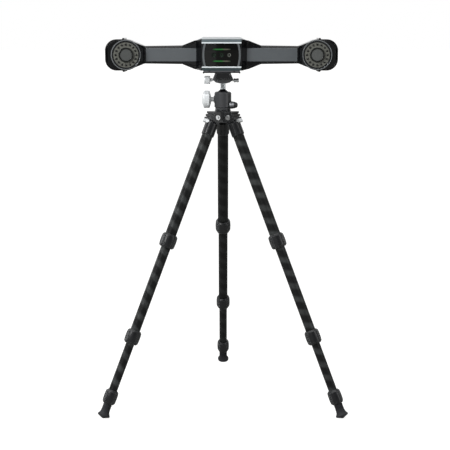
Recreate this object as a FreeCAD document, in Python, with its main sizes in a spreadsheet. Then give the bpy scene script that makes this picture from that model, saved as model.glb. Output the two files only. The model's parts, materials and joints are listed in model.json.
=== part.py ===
"""Optical tracker bar with two ring-lit cameras, on a ball head and a folding carbon tripod.

Millimetres, +Z up, seen from -Y. The origin lies on the floor, under the middle of the whole object.
Every sub-part is one object of the document, and its sizes are bound to the sheet called Sizes.
"""

import FreeCAD, Part

import math
import os
from types import SimpleNamespace

import Sketcher
from FreeCAD import Placement, Rotation, Vector

SIZES = {
    # Legs: places along a leg are measured from its pivot
    "leg_splay": 23.5,  # degrees from upright
    "pivot_reach": 24.0,  # from the tripod's axis to a leg's pivot
    "knuckle_width": 24.0,
    "knuckle_radius": 11.5,
    "pivot_pin_dia": 8.0,
    "shoulder_dia": 30.5,
    "shoulder_start": 12.0,
    "shoulder_cone": 3.5,
    "shoulder_end": 46.0,
    "tube_seat": 22.0,
    "tube1_dia": 26.0,
    "tube2_dia": 23.0,
    "tube3_dia": 20.0,
    "tube4_dia": 17.0,
    "tube4_wall": 1.2,
    "tube2_start": 267.0,
    "tube3_start": 424.0,
    "tube4_start": 445.0,
    "slide_gap": 0.3,
    "glue_gap": 0.05,
    "spin_gap": 0.1,
    "face_gap": 0.3,
    # Twist locks
    "lock1_middle": 312.0,
    "lock2_middle": 552.0,
    "lock3_middle": 701.0,
    "lock1_dia": 38.0,
    "lock2_dia": 35.0,
    "lock3_dia": 31.5,
    "lock_length": 33.0,
    "lock_nose": 6.0,  # the part of a lock that grips the thinner tube
    "lock_chamfer": 3.5,
    "lock_bulge": 0.8,
    "lock_pads": 3,
    "lock_pad_turn": 66.0,  # degrees that one smooth pad covers
    "lock_groove": 2.0,  # how far the ridged strips lie below the pads
    "lock_ridge": 0.9,
    "lock_ridge_pitch": 5.2,
    # Feet
    "foot_dia": 29.0,
    "foot_rim_end": 747.6,
    "foot_rim_height": 3.0,
    "foot_start": 719.5,
    "foot_neck_dia": 20.5,
    "foot_neck_end": 733.0,
    "foot_floor": 741.0,
    "foot_ring_depth": 1.0,
    "foot_ring_width": 1.3,
    "foot_flat": 0.4,  # how deep the sole is flattened
    # Spider: heights are measured from the leg pivots
    "spider_rise": 14.0,
    "spider_hub_dia": 46.0,
    "spider_hub_drop": 2.5,
    "ear_thick": 4.8,
    "ear_gap": 0.2,
    "tooth_reach": 34.0,
    "tooth_step": 3.5,
    "tooth_height": 4.9,
    "notch_height": 1.5,
    "notch_depth": 2.2,
    "bolt_head_dia": 12.4,
    "bolt_head_height": 3.0,
    "hex_key": 5.0,
    "hex_depth": 2.0,
    "stud_dia": 9.5,
    # Angle stops, in the leg's own directions
    "stop_width": 16.0,
    "stop_inner": 8.0,
    "stop_outer": 19.5,
    "stop_top": 10.5,
    "stop_thick": 6.0,
    "stop_lip": 1.5,
    # Ball head
    "pan_base_dia": 37.0,
    "pan_base_height": 4.2,
    "pan_hub_dia": 24.0,
    "pan_hub_height": 6.0,
    "housing_foot_dia": 36.0,
    "housing_dia": 40.0,
    "housing_height": 41.5,
    "ball_height": 32.5,  # ball centre above the housing's underside
    "ball_dia": 30.0,
    "ball_rest_height": 15.0,
    "housing_lip_dia": 31.6,
    "stem_dia": 12.4,
    "stem_length": 29.0,
    "stem_flare": 0.6,
    "spigot_dia": 10.0,
    "spigot_height": 7.8,
    "main_knob_height": 23.5,
    "main_knob_start": 28.0,
    "main_knob_dia": 41.0,
    "main_knob_thick": 21.0,
    "main_knob_rim": 15.0,
    "main_neck_dia": 11.0,
    "main_shaft_dia": 8.0,
    "main_shaft_start": 14.9,
    "main_boss_dia": 17.0,
    "main_boss_reach": 21.6,
    "pan_knob_turn": 25.0,  # degrees towards the front
    "pan_knob_height": 10.5,
    "pan_knob_start": 20.8,
    "pan_knob_dia": 18.0,
    "pan_knob_tip_dia": 15.2,
    "pan_knob_length": 11.0,
    "pan_cap_dia": 12.6,
    "pan_cap_length": 4.8,
    "pan_shaft_dia": 6.0,
    "pan_shaft_start": 12.6,
    # Dovetail clamp: heights are measured from its underside
    "clamp_length": 50.0,
    "clamp_half_width": 24.4,
    "clamp_top_half": 18.8,
    "clamp_keel_half": 8.5,
    "clamp_bilge_half": 17.0,
    "clamp_bilge_height": 2.3,
    "clamp_waist_height": 9.1,
    "clamp_seat": 10.7,
    "clamp_jaw_height": 22.0,
    "clamp_parting": 13.0,
    "clamp_channel_half": 11.0,
    "clamp_channel_depth": 1.5,
    "clamp_corner": 7.0,
    "clamp_knob_height": 7.3,
    "clamp_knob_start": 30.0,
    "clamp_knob_dia": 19.4,
    "clamp_knob_length": 14.6,
    "clamp_collar_dia": 8.0,
    "clamp_shaft_dia": 5.0,
    "clamp_shaft_start": 6.8,
    "lock_knob_height": 6.2,
    "lock_knob_dia": 9.5,
    "lock_knob_length": 12.6,
    "lock_shaft_dia": 4.0,
    "lock_shaft_start": 5.6,
    # Dovetail plate and mount plate
    "plate_width": 38.0,
    "plate_length": 66.0,
    "plate_height": 13.4,
    "plate_neck": 31.0,
    "plate_lip": 1.4,
    "seat_gap": 0.15,
    "mount_width": 88.0,
    "mount_length": 60.0,
    "mount_thick": 2.5,
    "mount_lip": 1.0,
    # Tracker bar: measured from the lens centres, Y from the parting plane
    "bar_shift": -3.0,
    "lens_reach": 226.0,
    "bar_half": 270.5,
    "toe_in": 5.0,  # degrees
    "wall": 2.5,
    "module_half_width": 47.5,
    "module_half_height": 36.3,
    "shoulder_reach": 64.0,
    "shoulder_half": 32.8,
    "wing_reach": 92.0,
    "arm_half": 21.6,
    "arm_end_half": 20.2,
    "arm_depth": 22.0,
    "arm_chamfer": 4.0,
    "module_front": 42.0,
    "module_back": 42.0,
    "module_bevel_half": 29.5,
    "module_bevel_depth": 6.0,
    "face_half": 46.0,
    "block_reach": 59.4,
    "block_front": 24.0,
    "fin_width": 1.2,
    "fin_pitch": 3.2,
    "fin_depth": 2.4,
    "head_half": 36.0,
    "head_taper_start": 180.0,
    "head_front": 38.5,
    "head_back": 34.0,
    "head_corner": 26.0,
    "cap_thick": 3.0,
    "cap_gap": 0.2,
    "cap_lip": 3.0,
    "cap_lip_width": 3.5,
    "top_cover_height": 4.7,
    "top_cover_half": 43.0,
    "top_cover_reach": 55.0,
    "bottom_cover_height": 3.3,
    "bottom_cover_half": 43.0,
    "panel_start": 59.4,
    "panel_end": 177.0,
    "panel_half": 15.5,
    "panel_recess": 1.5,
    "panel_proud": 1.5,
    "panel_edge": 0.9,
    # Window
    "bezel_half_height": 26.5,
    "bezel_bar": 3.0,
    "bezel_proud": 3.0,
    "bezel_end_half": 40.7,
    "bezel_middle_half": 44.5,
    "bezel_arc_width": 4.4,
    "glass_thick": 2.0,
    "opening_half_width": 35.0,
    "opening_half_height": 24.0,
    "sensor_pitch": 17.7,
    "sensor_dia": 11.0,
    "light_bar_length": 42.0,
    "light_bar_width": 3.0,
    "light_bar_up": 12.9,
    "light_bar_down": 14.2,
    # Cameras and ring lights
    "ring_dia": 70.4,
    "ring_bore": 64.6,
    "ring_height": 7.0,
    "board_thick": 1.6,
    "board_dia": 64.0,
    "flange_thick": 2.0,
    "led_count": 16,
    "led_circle": 24.0,
    "led_side": 3.4,
    "led_height": 0.9,
    "barrel_dia": 32.5,
    "barrel_front": 46.0,
    "body_dia": 48.0,
    "filter_dia": 27.4,
    "filter_thick": 2.0,
    "filter_inset": 0.4,
    "camera_base": 28.0,
    # Inside and behind
    "beam_reach": 245.0,
    "beam_height": 28.0,
    "beam_thick": 10.0,
    "board_width": 82.0,
    "board_height": 56.0,
    "board_front": 28.0,
    "post_dia": 5.0,
    "post_inset": 3.5,
    "socket_spacing": 32.0,
    "socket_drop": 14.0,
    "socket_flange_dia": 20.0,
    "socket_dia": 15.0,
    "socket_bore": 10.0,
    "socket_depth": 9.0,
    "socket_length": 8.0,
    "shell_screw_dia": 5.6,
    "shell_screw_height": 1.8,
}

AZIMUTHS = {"rear": 90.0, "left": 210.0, "right": 330.0}

doc = FreeCAD.newDocument("Tracker")
sheet = doc.addObject("Spreadsheet::Sheet", "Sizes")
for row, (alias, number) in enumerate(SIZES.items(), start=1):
    sheet.set(f"A{row}", alias)
    sheet.set(f"B{row}", str(number))
    sheet.setAlias(f"B{row}", alias)
doc.recompute()


class Size:
    """A number together with the sheet expression that it comes from."""

    def __init__(self, value, text=None):
        self.value = float(value)
        self.text = text if text else repr(float(value))

    def combined(self, other, sign, value):
        return Size(value, f"({self.text} {sign} {other.text})")

    def __add__(self, other):
        other = as_size(other)
        return self.combined(other, "+", self.value + other.value)

    def __sub__(self, other):
        other = as_size(other)
        return self.combined(other, "-", self.value - other.value)

    def __mul__(self, other):
        other = as_size(other)
        return self.combined(other, "*", self.value * other.value)

    def __truediv__(self, other):
        other = as_size(other)
        return self.combined(other, "/", self.value / other.value)

    def __radd__(self, other):
        return as_size(other) + self

    def __rsub__(self, other):
        return as_size(other) - self

    def __rmul__(self, other):
        return as_size(other) * self

    def __neg__(self):
        return as_size(0) - self


def as_size(number):
    return number if isinstance(number, Size) else Size(number)


def sin(angle):
    angle = as_size(angle)
    return Size(math.sin(math.radians(angle.value)), f"sin({angle.text})")


def cos(angle):
    angle = as_size(angle)
    return Size(math.cos(math.radians(angle.value)), f"cos({angle.text})")


def tan(angle):
    angle = as_size(angle)
    return Size(math.tan(math.radians(angle.value)), f"tan({angle.text})")


def root(number):
    number = as_size(number)
    return Size(math.sqrt(number.value), f"sqrt({number.text})")


dim = SimpleNamespace(**{alias: Size(sheet.get(alias), f"Sizes.{alias}") for alias in SIZES})

# Sketch planes: the turn from the XY plane, and whether the sketch's normal runs against the world axis
PLANES = {
    "XY": (Rotation(), "z", False),
    "XZ": (Rotation(Vector(1, 0, 0), 90), "y", True),
    "YZ": (Rotation(Vector(1, 1, 1), 120), "x", False),
}


def bound(item, path, size):
    """Bind a property to a size, by expression when the size comes from the sheet."""
    size = as_size(size)
    if "Sizes." in size.text:
        item.setExpression(path, size.text)
    else:
        target, _, name = path.rpartition(".")
        if target:
            raise ValueError("only plain properties take plain numbers")
        setattr(item, name, size.value)


def constrain(sketch, kind, geometry, size):
    """Add a dimension to a sketch and bind it to a size."""
    size = as_size(size)
    index = sketch.addConstraint(Sketcher.Constraint(kind, *geometry, size.value))
    if "Sizes." in size.text:
        sketch.setExpression(f"Constraints[{index}]", size.text)


def fix_point(sketch, geometry, end, across, up):
    """Hold one point of a sketch at its two distances from the origin."""
    for kind, axis, size in (("DistanceX", -2, across), ("DistanceY", -1, up)):
        if as_size(size).value == 0.0:
            sketch.addConstraint(Sketcher.Constraint("PointOnObject", geometry, end, axis))
        else:
            constrain(sketch, kind, (-1, 1, geometry, end), size)


def arc_between(start, end, radius):
    """The arc from start to end that turns left for a positive radius, right for a negative one."""
    chord = end - start
    left = Vector(-chord.y, chord.x, 0).normalize()
    rise = math.sqrt(max(radius * radius - chord.Length ** 2 / 4, 0.0))
    centre = (start + end) / 2 + left * math.copysign(rise, radius)
    first, last = (start, end) if radius > 0 else (end, start)
    angles = [math.atan2(p.y - centre.y, p.x - centre.x) for p in (first, last)]
    if angles[1] < angles[0]:
        angles[1] += 2 * math.pi
    circle = Part.Circle(centre, Vector(0, 0, 1), abs(radius))
    return Part.ArcOfCircle(circle, angles[0], angles[1])


def add_outline(sketch, corners):
    """Draw a closed outline. A corner is (across, up), or (across, up, radius) to end an arc there."""
    points = [Vector(as_size(c[0]).value, as_size(c[1]).value, 0) for c in corners]
    ends = []
    for number, corner in enumerate(corners):
        start, end = points[number - 1], points[number]
        if len(corner) == 3:
            radius = as_size(corner[2])
            index = sketch.addGeometry(arc_between(start, end, radius.value), False)
            bow = radius if radius.value > 0 else -radius
            constrain(sketch, "Radius", (index,), bow)
            ends.append((index, 1, 2) if radius.value > 0 else (index, 2, 1))
        else:
            index = sketch.addGeometry(Part.LineSegment(start, end), False)
            ends.append((index, 1, 2))
    for number, corner in enumerate(corners):
        index, _, last = ends[number]
        following, first, _ = ends[(number + 1) % len(corners)]
        sketch.addConstraint(Sketcher.Constraint("Coincident", index, last, following, first))
        fix_point(sketch, index, last, corner[0], corner[1])


def add_circle(sketch, across, up, radius):
    centre = Vector(as_size(across).value, as_size(up).value, 0)
    index = sketch.addGeometry(Part.Circle(centre, Vector(0, 0, 1), as_size(radius).value), False)
    constrain(sketch, "Radius", (index,), radius)
    fix_point(sketch, index, 3, across, up)


def fill_sketch(sketch, shapes):
    """Draw shapes: a tuple of three sizes is a circle, a list is a closed outline."""
    for shape in shapes:
        if isinstance(shape, tuple):
            add_circle(sketch, *shape)
        else:
            add_outline(sketch, shape)
    return sketch


def new_body(name):
    return doc.addObject("PartDesign::Body", name)


def origin_feature(body, role):
    return next(item for item in body.Origin.OriginFeatures if item.Role == role)


def draw(body, plane, shapes, raised=0.0, turn=0.0):
    """Sketch shapes on a body's plane, raised along the world axis and turned about the sketch's up."""
    sketch = body.newObject("Sketcher::SketchObject", "Sketch")
    sketch.AttachmentSupport = (origin_feature(body, plane + "_Plane"), [""])
    sketch.MapMode = "FlatFace"
    spin = Rotation(Vector(0, 1, 0), turn)
    raised = as_size(raised)
    reach = -raised if PLANES[plane][2] else raised
    if turn:
        sketch.AttachmentOffset = Placement(spin.multVec(Vector(0, 0, reach.value)), spin)
    else:
        bound_offset(sketch, reach)
    return fill_sketch(sketch, shapes)


def bound_offset(sketch, reach):
    sketch.AttachmentOffset = Placement(Vector(0, 0, reach.value), Rotation())
    if "Sizes." in reach.text:
        sketch.setExpression(".AttachmentOffset.Base.z", reach.text)


def finished(feature, smaller_than=None):
    """Recompute a feature and make sure that a cut has taken something away."""
    doc.recompute()
    if smaller_than is not None and feature.Shape.Volume > smaller_than - 1e-3:
        raise RuntimeError(f"{feature.Label} cuts nothing")
    return feature


def pad(body, sketch, length, symmetric=False, back=False):
    feature = body.newObject("PartDesign::Pad", "Pad")
    feature.Profile = sketch
    feature.SideType = "Symmetric" if symmetric else "One side"
    feature.Reversed = back
    bound(feature, "Length", length)
    return finished(feature)


def pocket(body, sketch, depth, symmetric=False, back=False):
    """Cut a sketch into a body, against the sketch's normal unless it goes back along it."""
    before = body.Shape.Volume
    feature = body.newObject("PartDesign::Pocket", "Pocket")
    feature.Profile = sketch
    feature.SideType = "Symmetric" if symmetric else "One side"
    feature.Reversed = back
    bound(feature, "Length", depth)
    return finished(feature, before)


def revolve(body, corners, angle=360.0):
    """Turn a half section, drawn in the XZ plane, about the Z axis, as far to both sides of that plane."""
    feature = body.newObject("PartDesign::Revolution", "Revolution")
    sketch = draw(body, "XZ", [corners])
    feature.Profile = sketch
    feature.ReferenceAxis = (sketch, ["V_Axis"])
    bound(feature, "Angle", angle)
    feature.Midplane = isinstance(angle, Size)
    return finished(feature)


def around(body, feature, count):
    """Repeat a feature about the body's Z axis."""
    pattern = body.newObject("PartDesign::PolarPattern", "Around")
    pattern.Originals = [feature]
    pattern.Axis = (origin_feature(body, "Z_Axis"), [""])
    pattern.Angle = 360.0
    if isinstance(count, Size):
        bound(pattern, "Occurrences", count)
    else:
        pattern.Occurrences = count
    body.Tip = pattern
    return finished(pattern)


def turned(name, corners):
    body = new_body(name)
    revolve(body, corners)
    return body


def prism(name, plane, shapes, low, high):
    """A solid of drawn shapes between two places along the world axis that the plane faces."""
    turn, axis, against = PLANES[plane]
    low, high = as_size(low), as_size(high)
    start = high if against else low
    sketch = fill_sketch(doc.addObject("Sketcher::SketchObject", name + "_sketch"), shapes)
    place(sketch, turn, **{axis: start})
    solid = doc.addObject("Part::Extrusion", name)
    solid.Base = sketch
    solid.DirMode = "Normal"
    solid.Solid = True
    bound(solid, "LengthFwd", high - low)
    return solid


def place(item, turn=None, x=0.0, y=0.0, z=0.0):
    """Put an object somewhere, its place bound to the sheet."""
    spots = {"x": as_size(x), "y": as_size(y), "z": as_size(z)}
    base = Vector(*(size.value for size in spots.values()))
    item.Placement = Placement(base, turn if turn else Rotation())
    for axis, size in spots.items():
        if "Sizes." in size.text:
            item.setExpression(f".Placement.Base.{axis}", size.text)
    return item


def joined(name, items):
    result = doc.addObject("Part::MultiFuse", name)
    result.Shapes = items
    result.Refine = True
    return result


def shared(name, items):
    """What all the items have in common."""
    result = doc.addObject("Part::MultiCommon", name)
    result.Shapes = items
    return result


def less(name, base, tool):
    result = doc.addObject("Part::Cut", name)
    result.Base = base
    result.Tool = tool
    result.Refine = True
    doc.recompute()
    if result.Shape.Volume > base.Shape.Volume - 1e-3:
        raise RuntimeError(f"{name} cuts nothing")
    return result


def group(name, items):
    """Separate solids that count as one sub-part."""
    result = doc.addObject("Part::Compound", name)
    result.Links = items
    return result


def mirrored_pair(name, item):
    """An object and its mirror image across the bar's middle, as one sub-part."""
    other = doc.addObject("Part::Mirroring", name + "_mirror")
    other.Source = item
    other.Base = Vector(0, 0, 0)
    other.Normal = Vector(1, 0, 0)
    return group(name, [item, other])


def rod(name, radius, length, turn=None, x=0.0, y=0.0, z=0.0):
    """A round bar that starts at a point and runs along the turned Z axis."""
    item = doc.addObject("Part::Cylinder", name)
    bound(item, "Radius", radius)
    bound(item, "Height", length)
    return place(item, turn, x, y, z)


def block(name, low, high):
    """A box between two corners."""
    item = doc.addObject("Part::Box", name)
    for side, first, last in zip(("Length", "Width", "Height"), low, high):
        bound(item, side, as_size(last) - first)
    return place(item, None, *low)


def both_signs(corners):
    """Close an outline by mirroring its right half to the left, from the top right round to the bottom."""
    return corners + [(-c[0], *c[1:]) for c in reversed(corners)]


TO_FRONT = Rotation(Vector(1, 0, 0), 90)
TO_RIGHT = Rotation(Vector(0, 1, 0), 90)
TO_LEFT = Rotation(Vector(0, 1, 0), -90)
TO_BACK = Rotation(Vector(1, 0, 0), -90)

sub_parts = []


def keep(item, label):
    item.Label = label
    sub_parts.append(item)
    return item


# Heights of the whole stack, and the tripod's place behind the origin
splay = dim.leg_splay
foot_radius = dim.foot_dia / 2
foot_apex = dim.foot_rim_end + foot_radius * tan(splay)
pivot_z = foot_apex * cos(splay) - dim.foot_flat
spider_top = pivot_z + dim.spider_rise
housing_z = spider_top + dim.pan_base_height + dim.face_gap
ball_z = housing_z + dim.ball_height
clamp_z = ball_z + dim.stem_length + dim.face_gap
plate_z = clamp_z + dim.clamp_seat + dim.seat_gap
bar_z = plate_z + dim.plate_height + dim.mount_thick + dim.bottom_cover_height + dim.module_half_height
foot_reach = dim.pivot_reach + dim.foot_rim_end * sin(splay)
rearmost = foot_reach + foot_radius * cos(splay)
foremost = foot_reach / 2 + foot_radius * root(1 - sin(splay) * sin(splay) / 4)
axis_y = (foremost - rearmost) / 2

ear_inner = dim.knuckle_width / 2 + dim.ear_gap
ear_outer = ear_inner + dim.ear_thick
pin_radius = dim.pivot_pin_dia / 2
pin_bore = pin_radius + dim.spin_gap
tube1_bore = dim.tube2_dia / 2 + dim.slide_gap
tube2_bore = dim.tube3_dia / 2 + dim.slide_gap
tube3_bore = dim.tube4_dia / 2 + dim.slide_gap
tube4_bore = dim.tube4_dia / 2 - dim.tube4_wall
lock_half = dim.lock_length / 2


def tube_end(lock_middle):
    """Where a tube ends inside the lock that closes it."""
    return lock_middle + lock_half - dim.lock_nose


def tube(label, radius, bore, start, end):
    body = new_body(label)
    sketch = draw(body, "XY", [(0, 0, radius), (0, 0, bore)], start)
    pad(body, sketch, end - start)
    return body


def shoulder(label):
    """Top casting of a leg: a knuckle on the pivot, and a sleeve that holds the first tube."""
    body = new_body(label)
    radius = dim.shoulder_dia / 2
    bore = dim.tube1_dia / 2 + dim.glue_gap
    start, end, seat = dim.shoulder_start, dim.shoulder_end, dim.tube_seat
    cone_end = start + dim.shoulder_cone
    knuckle_half = dim.knuckle_width / 2
    revolve(body, [(0, start), (knuckle_half, start), (radius, cone_end), (radius, end - 1.5), (radius - 0.8, end),
                   (bore, end), (bore, seat), (0, seat)])
    knuckle = dim.knuckle_radius
    outline = [(-knuckle, cone_end), (-knuckle, 0), (0, -knuckle, knuckle), (knuckle, 0, knuckle), (knuckle, cone_end)]
    pad(body, draw(body, "XZ", [outline]), dim.knuckle_width, symmetric=True)
    pocket(body, draw(body, "XZ", [(0, 0, pin_bore)]), dim.knuckle_width * 2, symmetric=True)
    gap = dim.face_gap
    top, bottom = dim.stop_top - gap, dim.stop_top + dim.stop_thick + gap
    inner = dim.stop_inner - gap
    slot = [(inner, top), (radius * 2, top), (radius * 2, bottom), (inner, bottom)]
    pocket(body, draw(body, "XZ", [slot]), dim.stop_width + gap * 2, symmetric=True)
    return body


def angle_stop(label):
    """Pull-out tab that meets the spider's lowest tooth and sets the leg's spread."""
    body = new_body(label)
    inner, outer, lip = dim.stop_inner, dim.stop_outer, dim.stop_lip
    top = dim.stop_top
    bottom = top + dim.stop_thick
    foot = dim.shoulder_dia / 2 + lip / 2
    outline = [(inner, top), (outer, top), (outer + lip, top + lip), (outer + lip, bottom + lip),
               (outer, bottom + lip * 2), (foot, bottom + lip * 2), (foot, bottom), (inner, bottom)]
    pad(body, draw(body, "XZ", [outline]), dim.stop_width, symmetric=True)
    return body


def twist_lock(label, middle, dia, upper_bore, lower_bore):
    """Barrel nut with smooth finger pads and ridged strips between them; its nose grips the thinner tube."""
    body = new_body(label)
    top, bottom = middle - lock_half, middle + lock_half
    chamfer, bulge = dim.lock_chamfer, dim.lock_bulge
    side, rim, strip = dia / 2 - bulge, dia / 2 - chamfer, dia / 2 - dim.lock_groove
    crest, pitch = strip + dim.lock_ridge, dim.lock_ridge_pitch
    seat = tube_end(middle) + dim.face_gap
    corners = [(rim, top), (strip, top + chamfer)]
    for ridge in range(5):
        first = top + chamfer + pitch * (ridge + 0.25)
        last = first + pitch / 2
        corners += [(strip, first), (crest, first), (crest, last), (strip, last)]
    corners += [(strip, bottom - chamfer), (rim, bottom), (lower_bore, bottom), (lower_bore, seat), (upper_bore, seat),
                (upper_bore, top)]
    revolve(body, corners)
    chord = dim.lock_length - chamfer * 2
    bow = chord * chord / (bulge * 8) + bulge / 2
    inset = chamfer / 6
    inner, edge = rim - 0.5, rim + inset / 3
    smooth = revolve(body, [(-inner, top + inset), (-edge, top + inset), (-side, top + chamfer),
                            (-side, bottom - chamfer, -bow), (-edge, bottom - inset), (-inner, bottom - inset)],
                     dim.lock_pad_turn)
    around(body, smooth, dim.lock_pads)
    return body


def foot(label):
    """Rubber foot with a ringed neck, its cone worn flat where it stands."""
    body = new_body(label)
    neck, start = dim.foot_neck_dia / 2, dim.foot_start
    bore = dim.tube4_dia / 2 + dim.glue_gap
    rim_start = dim.foot_rim_end - dim.foot_rim_height
    corners = [(bore, start), (neck, start)]
    for ring in range(3):
        first = start + dim.foot_ring_width * (2 * ring + 2)
        last = first + dim.foot_ring_width
        hollow = neck - dim.foot_ring_depth
        corners += [(neck, first), (hollow, first), (hollow, last), (neck, last)]
    corners += [(neck, dim.foot_neck_end), (foot_radius, rim_start, -(rim_start - dim.foot_neck_end) * 1.6),
                (foot_radius, dim.foot_rim_end), (0, foot_apex), (0, dim.foot_floor), (bore, dim.foot_floor)]
    revolve(body, corners)
    far = dim.foot_dia
    flat = foot_apex - dim.foot_flat / cos(splay)
    below = foot_apex + far
    sole = [(-far, flat - far * tan(splay)), (far, flat + far * tan(splay)), (far, below), (-far, below)]
    pocket(body, draw(body, "XZ", [sole]), far * 2, symmetric=True)
    return body


def place_on_leg(item, azimuth):
    """Stand a leg piece, drawn along Z, on its pivot and lean it out by the splay."""
    angle, lean = math.radians(azimuth), math.radians(splay.value)
    outward = Vector(math.cos(angle), math.sin(angle), 0)
    sideways = Vector(-math.sin(angle), math.cos(angle), 0)
    across = outward * math.cos(lean) + Vector(0, 0, math.sin(lean))
    along = outward * math.sin(lean) - Vector(0, 0, math.cos(lean))
    place(item, Rotation(across, sideways * -1, along, "ZXY"),
          dim.pivot_reach * cos(azimuth), dim.pivot_reach * sin(azimuth) + axis_y, pivot_z)


def leg(name, azimuth):
    end1, end2, end3 = (tube_end(m) for m in (dim.lock1_middle, dim.lock2_middle, dim.lock3_middle))
    gap = dim.slide_gap
    pieces = [
        shoulder(f"{name}_leg_shoulder"),
        angle_stop(f"{name}_leg_angle_stop"),
        tube(f"{name}_leg_tube_1", dim.tube1_dia / 2, tube1_bore, dim.tube_seat, end1),
        tube(f"{name}_leg_tube_2", dim.tube2_dia / 2, tube2_bore, dim.tube2_start, end2),
        tube(f"{name}_leg_tube_3", dim.tube3_dia / 2, tube3_bore, dim.tube3_start, end3),
        tube(f"{name}_leg_tube_4", dim.tube4_dia / 2, tube4_bore, dim.tube4_start, dim.foot_floor),
        twist_lock(f"{name}_leg_lock_1", dim.lock1_middle, dim.lock1_dia, dim.tube1_dia / 2 + gap, tube1_bore),
        twist_lock(f"{name}_leg_lock_2", dim.lock2_middle, dim.lock2_dia, dim.tube2_dia / 2 + gap, tube2_bore),
        twist_lock(f"{name}_leg_lock_3", dim.lock3_middle, dim.lock3_dia, dim.tube3_dia / 2 + gap, tube3_bore),
        foot(f"{name}_leg_foot"),
    ]
    for piece in pieces:
        place_on_leg(piece, azimuth)
        keep(piece, piece.Label)


def beside_leg(across, along):
    """A point of the rear leg's own section, as distance from the tripod's axis and height over the pivot."""
    return (dim.pivot_reach + along * sin(splay) + across * cos(splay), across * sin(splay) - along * cos(splay))


def spider():
    """Centre casting: a hub with three forks, each with a stepped stop for its leg."""
    body = new_body("spider")
    rise, drop, reach = dim.spider_rise, dim.knuckle_radius, dim.pivot_reach
    hub = draw(body, "XY", [(0, 0, dim.spider_hub_dia / 2)], -dim.spider_hub_drop)
    pad(body, hub, rise + dim.spider_hub_drop)
    corners = [(0, -drop), (0, rise)]
    level, tip = rise, dim.tooth_reach
    for tooth in range(2):
        tip = dim.tooth_reach + dim.tooth_step * tooth
        notch = level - dim.tooth_height
        level = notch - dim.notch_height
        corners += [(tip, notch + dim.tooth_height), (tip, notch), (tip - dim.notch_depth, notch),
                    (tip - dim.notch_depth, level)]
    tip = dim.tooth_reach + dim.tooth_step * 2
    stop_line = dim.stop_top - dim.face_gap
    tooth_foot = (tip - reach - stop_line * sin(splay)) / cos(splay)
    pocket_radius = dim.knuckle_radius + dim.face_gap + dim.ear_gap
    ear_foot = (reach + drop * sin(35), -drop * cos(35))
    corners += [(tip, level), beside_leg(tooth_foot, stop_line), beside_leg(pocket_radius, stop_line),
                ear_foot, (reach, -drop, -drop)]
    arm = pad(body, draw(body, "YZ", [corners]), ear_outer * 2, symmetric=True)
    around(body, arm, 3)
    deep = dim.shoulder_end
    fork = [(reach - pocket_radius, -deep), (reach - pocket_radius, 0), (reach, pocket_radius, -pocket_radius),
            (*beside_leg(pocket_radius, 0), -pocket_radius), beside_leg(pocket_radius, deep),
            (beside_leg(pocket_radius, deep)[0], -deep)]
    slot = pocket(body, draw(body, "YZ", [fork]), ear_inner * 2, symmetric=True)
    around(body, slot, 3)
    bore = pocket(body, draw(body, "YZ", [(reach, 0, pin_bore)]), ear_outer * 2 + 2, symmetric=True)
    around(body, bore, 3)
    stud = draw(body, "XY", [(0, 0, dim.stud_dia / 2)], rise)
    pocket(body, stud, rise * 3)
    return place(body, None, 0, axis_y, pivot_z)


def hexagon(across_flats):
    """Corners of a hex key's socket."""
    radius = across_flats / 2 / cos(30)
    return [(radius * cos(60 * corner), radius * sin(60 * corner)) for corner in range(6)]


def pivot_screw(name, shank):
    """Button-headed screw along X, its head from the ear's face outwards."""
    body = new_body(name)
    head, height = dim.bolt_head_dia / 2, dim.bolt_head_height
    start = -ear_outer * 2 if shank else as_size(0)
    corners = [(0, start), (pin_radius, start), (pin_radius, 0)] if shank else [(0, 0)]
    revolve(body, corners + [(head, 0), (head, height - 1), (head - 1, height), (0, height)])
    pocket(body, draw(body, "XY", [hexagon(dim.hex_key)], height), dim.hex_depth)
    return body


def spider_fasteners():
    items = []
    for name, azimuth in AZIMUTHS.items():
        outward = Rotation(Vector(0, 0, 1), azimuth)
        sides = ((1, True), (-1, False))
        for side, shank in sides:
            item = pivot_screw(f"{name}_pivot_{'screw' if shank else 'nut'}", shank)
            turn = outward.multiply(Rotation(Vector(1, 0, 0), -90 * side))
            x = dim.pivot_reach * cos(azimuth) - ear_outer * side * sin(azimuth)
            y = dim.pivot_reach * sin(azimuth) + ear_outer * side * cos(azimuth)
            items.append(place(item, turn, x, y, 0))
    stud_start = dim.spider_rise - dim.stud_dia * 1.5
    length = dim.stud_dia * 1.5 + dim.pan_base_height + dim.pan_hub_height - 1
    items.append(rod("head_stud", dim.stud_dia / 2, length, z=stud_start))
    return place(group("spider_fasteners", items), None, 0, axis_y, pivot_z)


def pan_base():
    """Fixed foot of the ball head, with the hub that the housing turns on."""
    radius, height = dim.pan_base_dia / 2, dim.pan_base_height
    hub, top = dim.pan_hub_dia / 2, dim.pan_base_height + dim.pan_hub_height
    bore = dim.stud_dia / 2 + dim.glue_gap
    body = turned("pan_base", [(bore, 0), (radius - 0.6, 0), (radius, 0.6), (radius, height - 0.6),
                               (radius - 0.6, height), (hub, height), (hub, top - 1), (bore, top - 1)])
    return place(body, None, 0, axis_y, spider_top)


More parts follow.
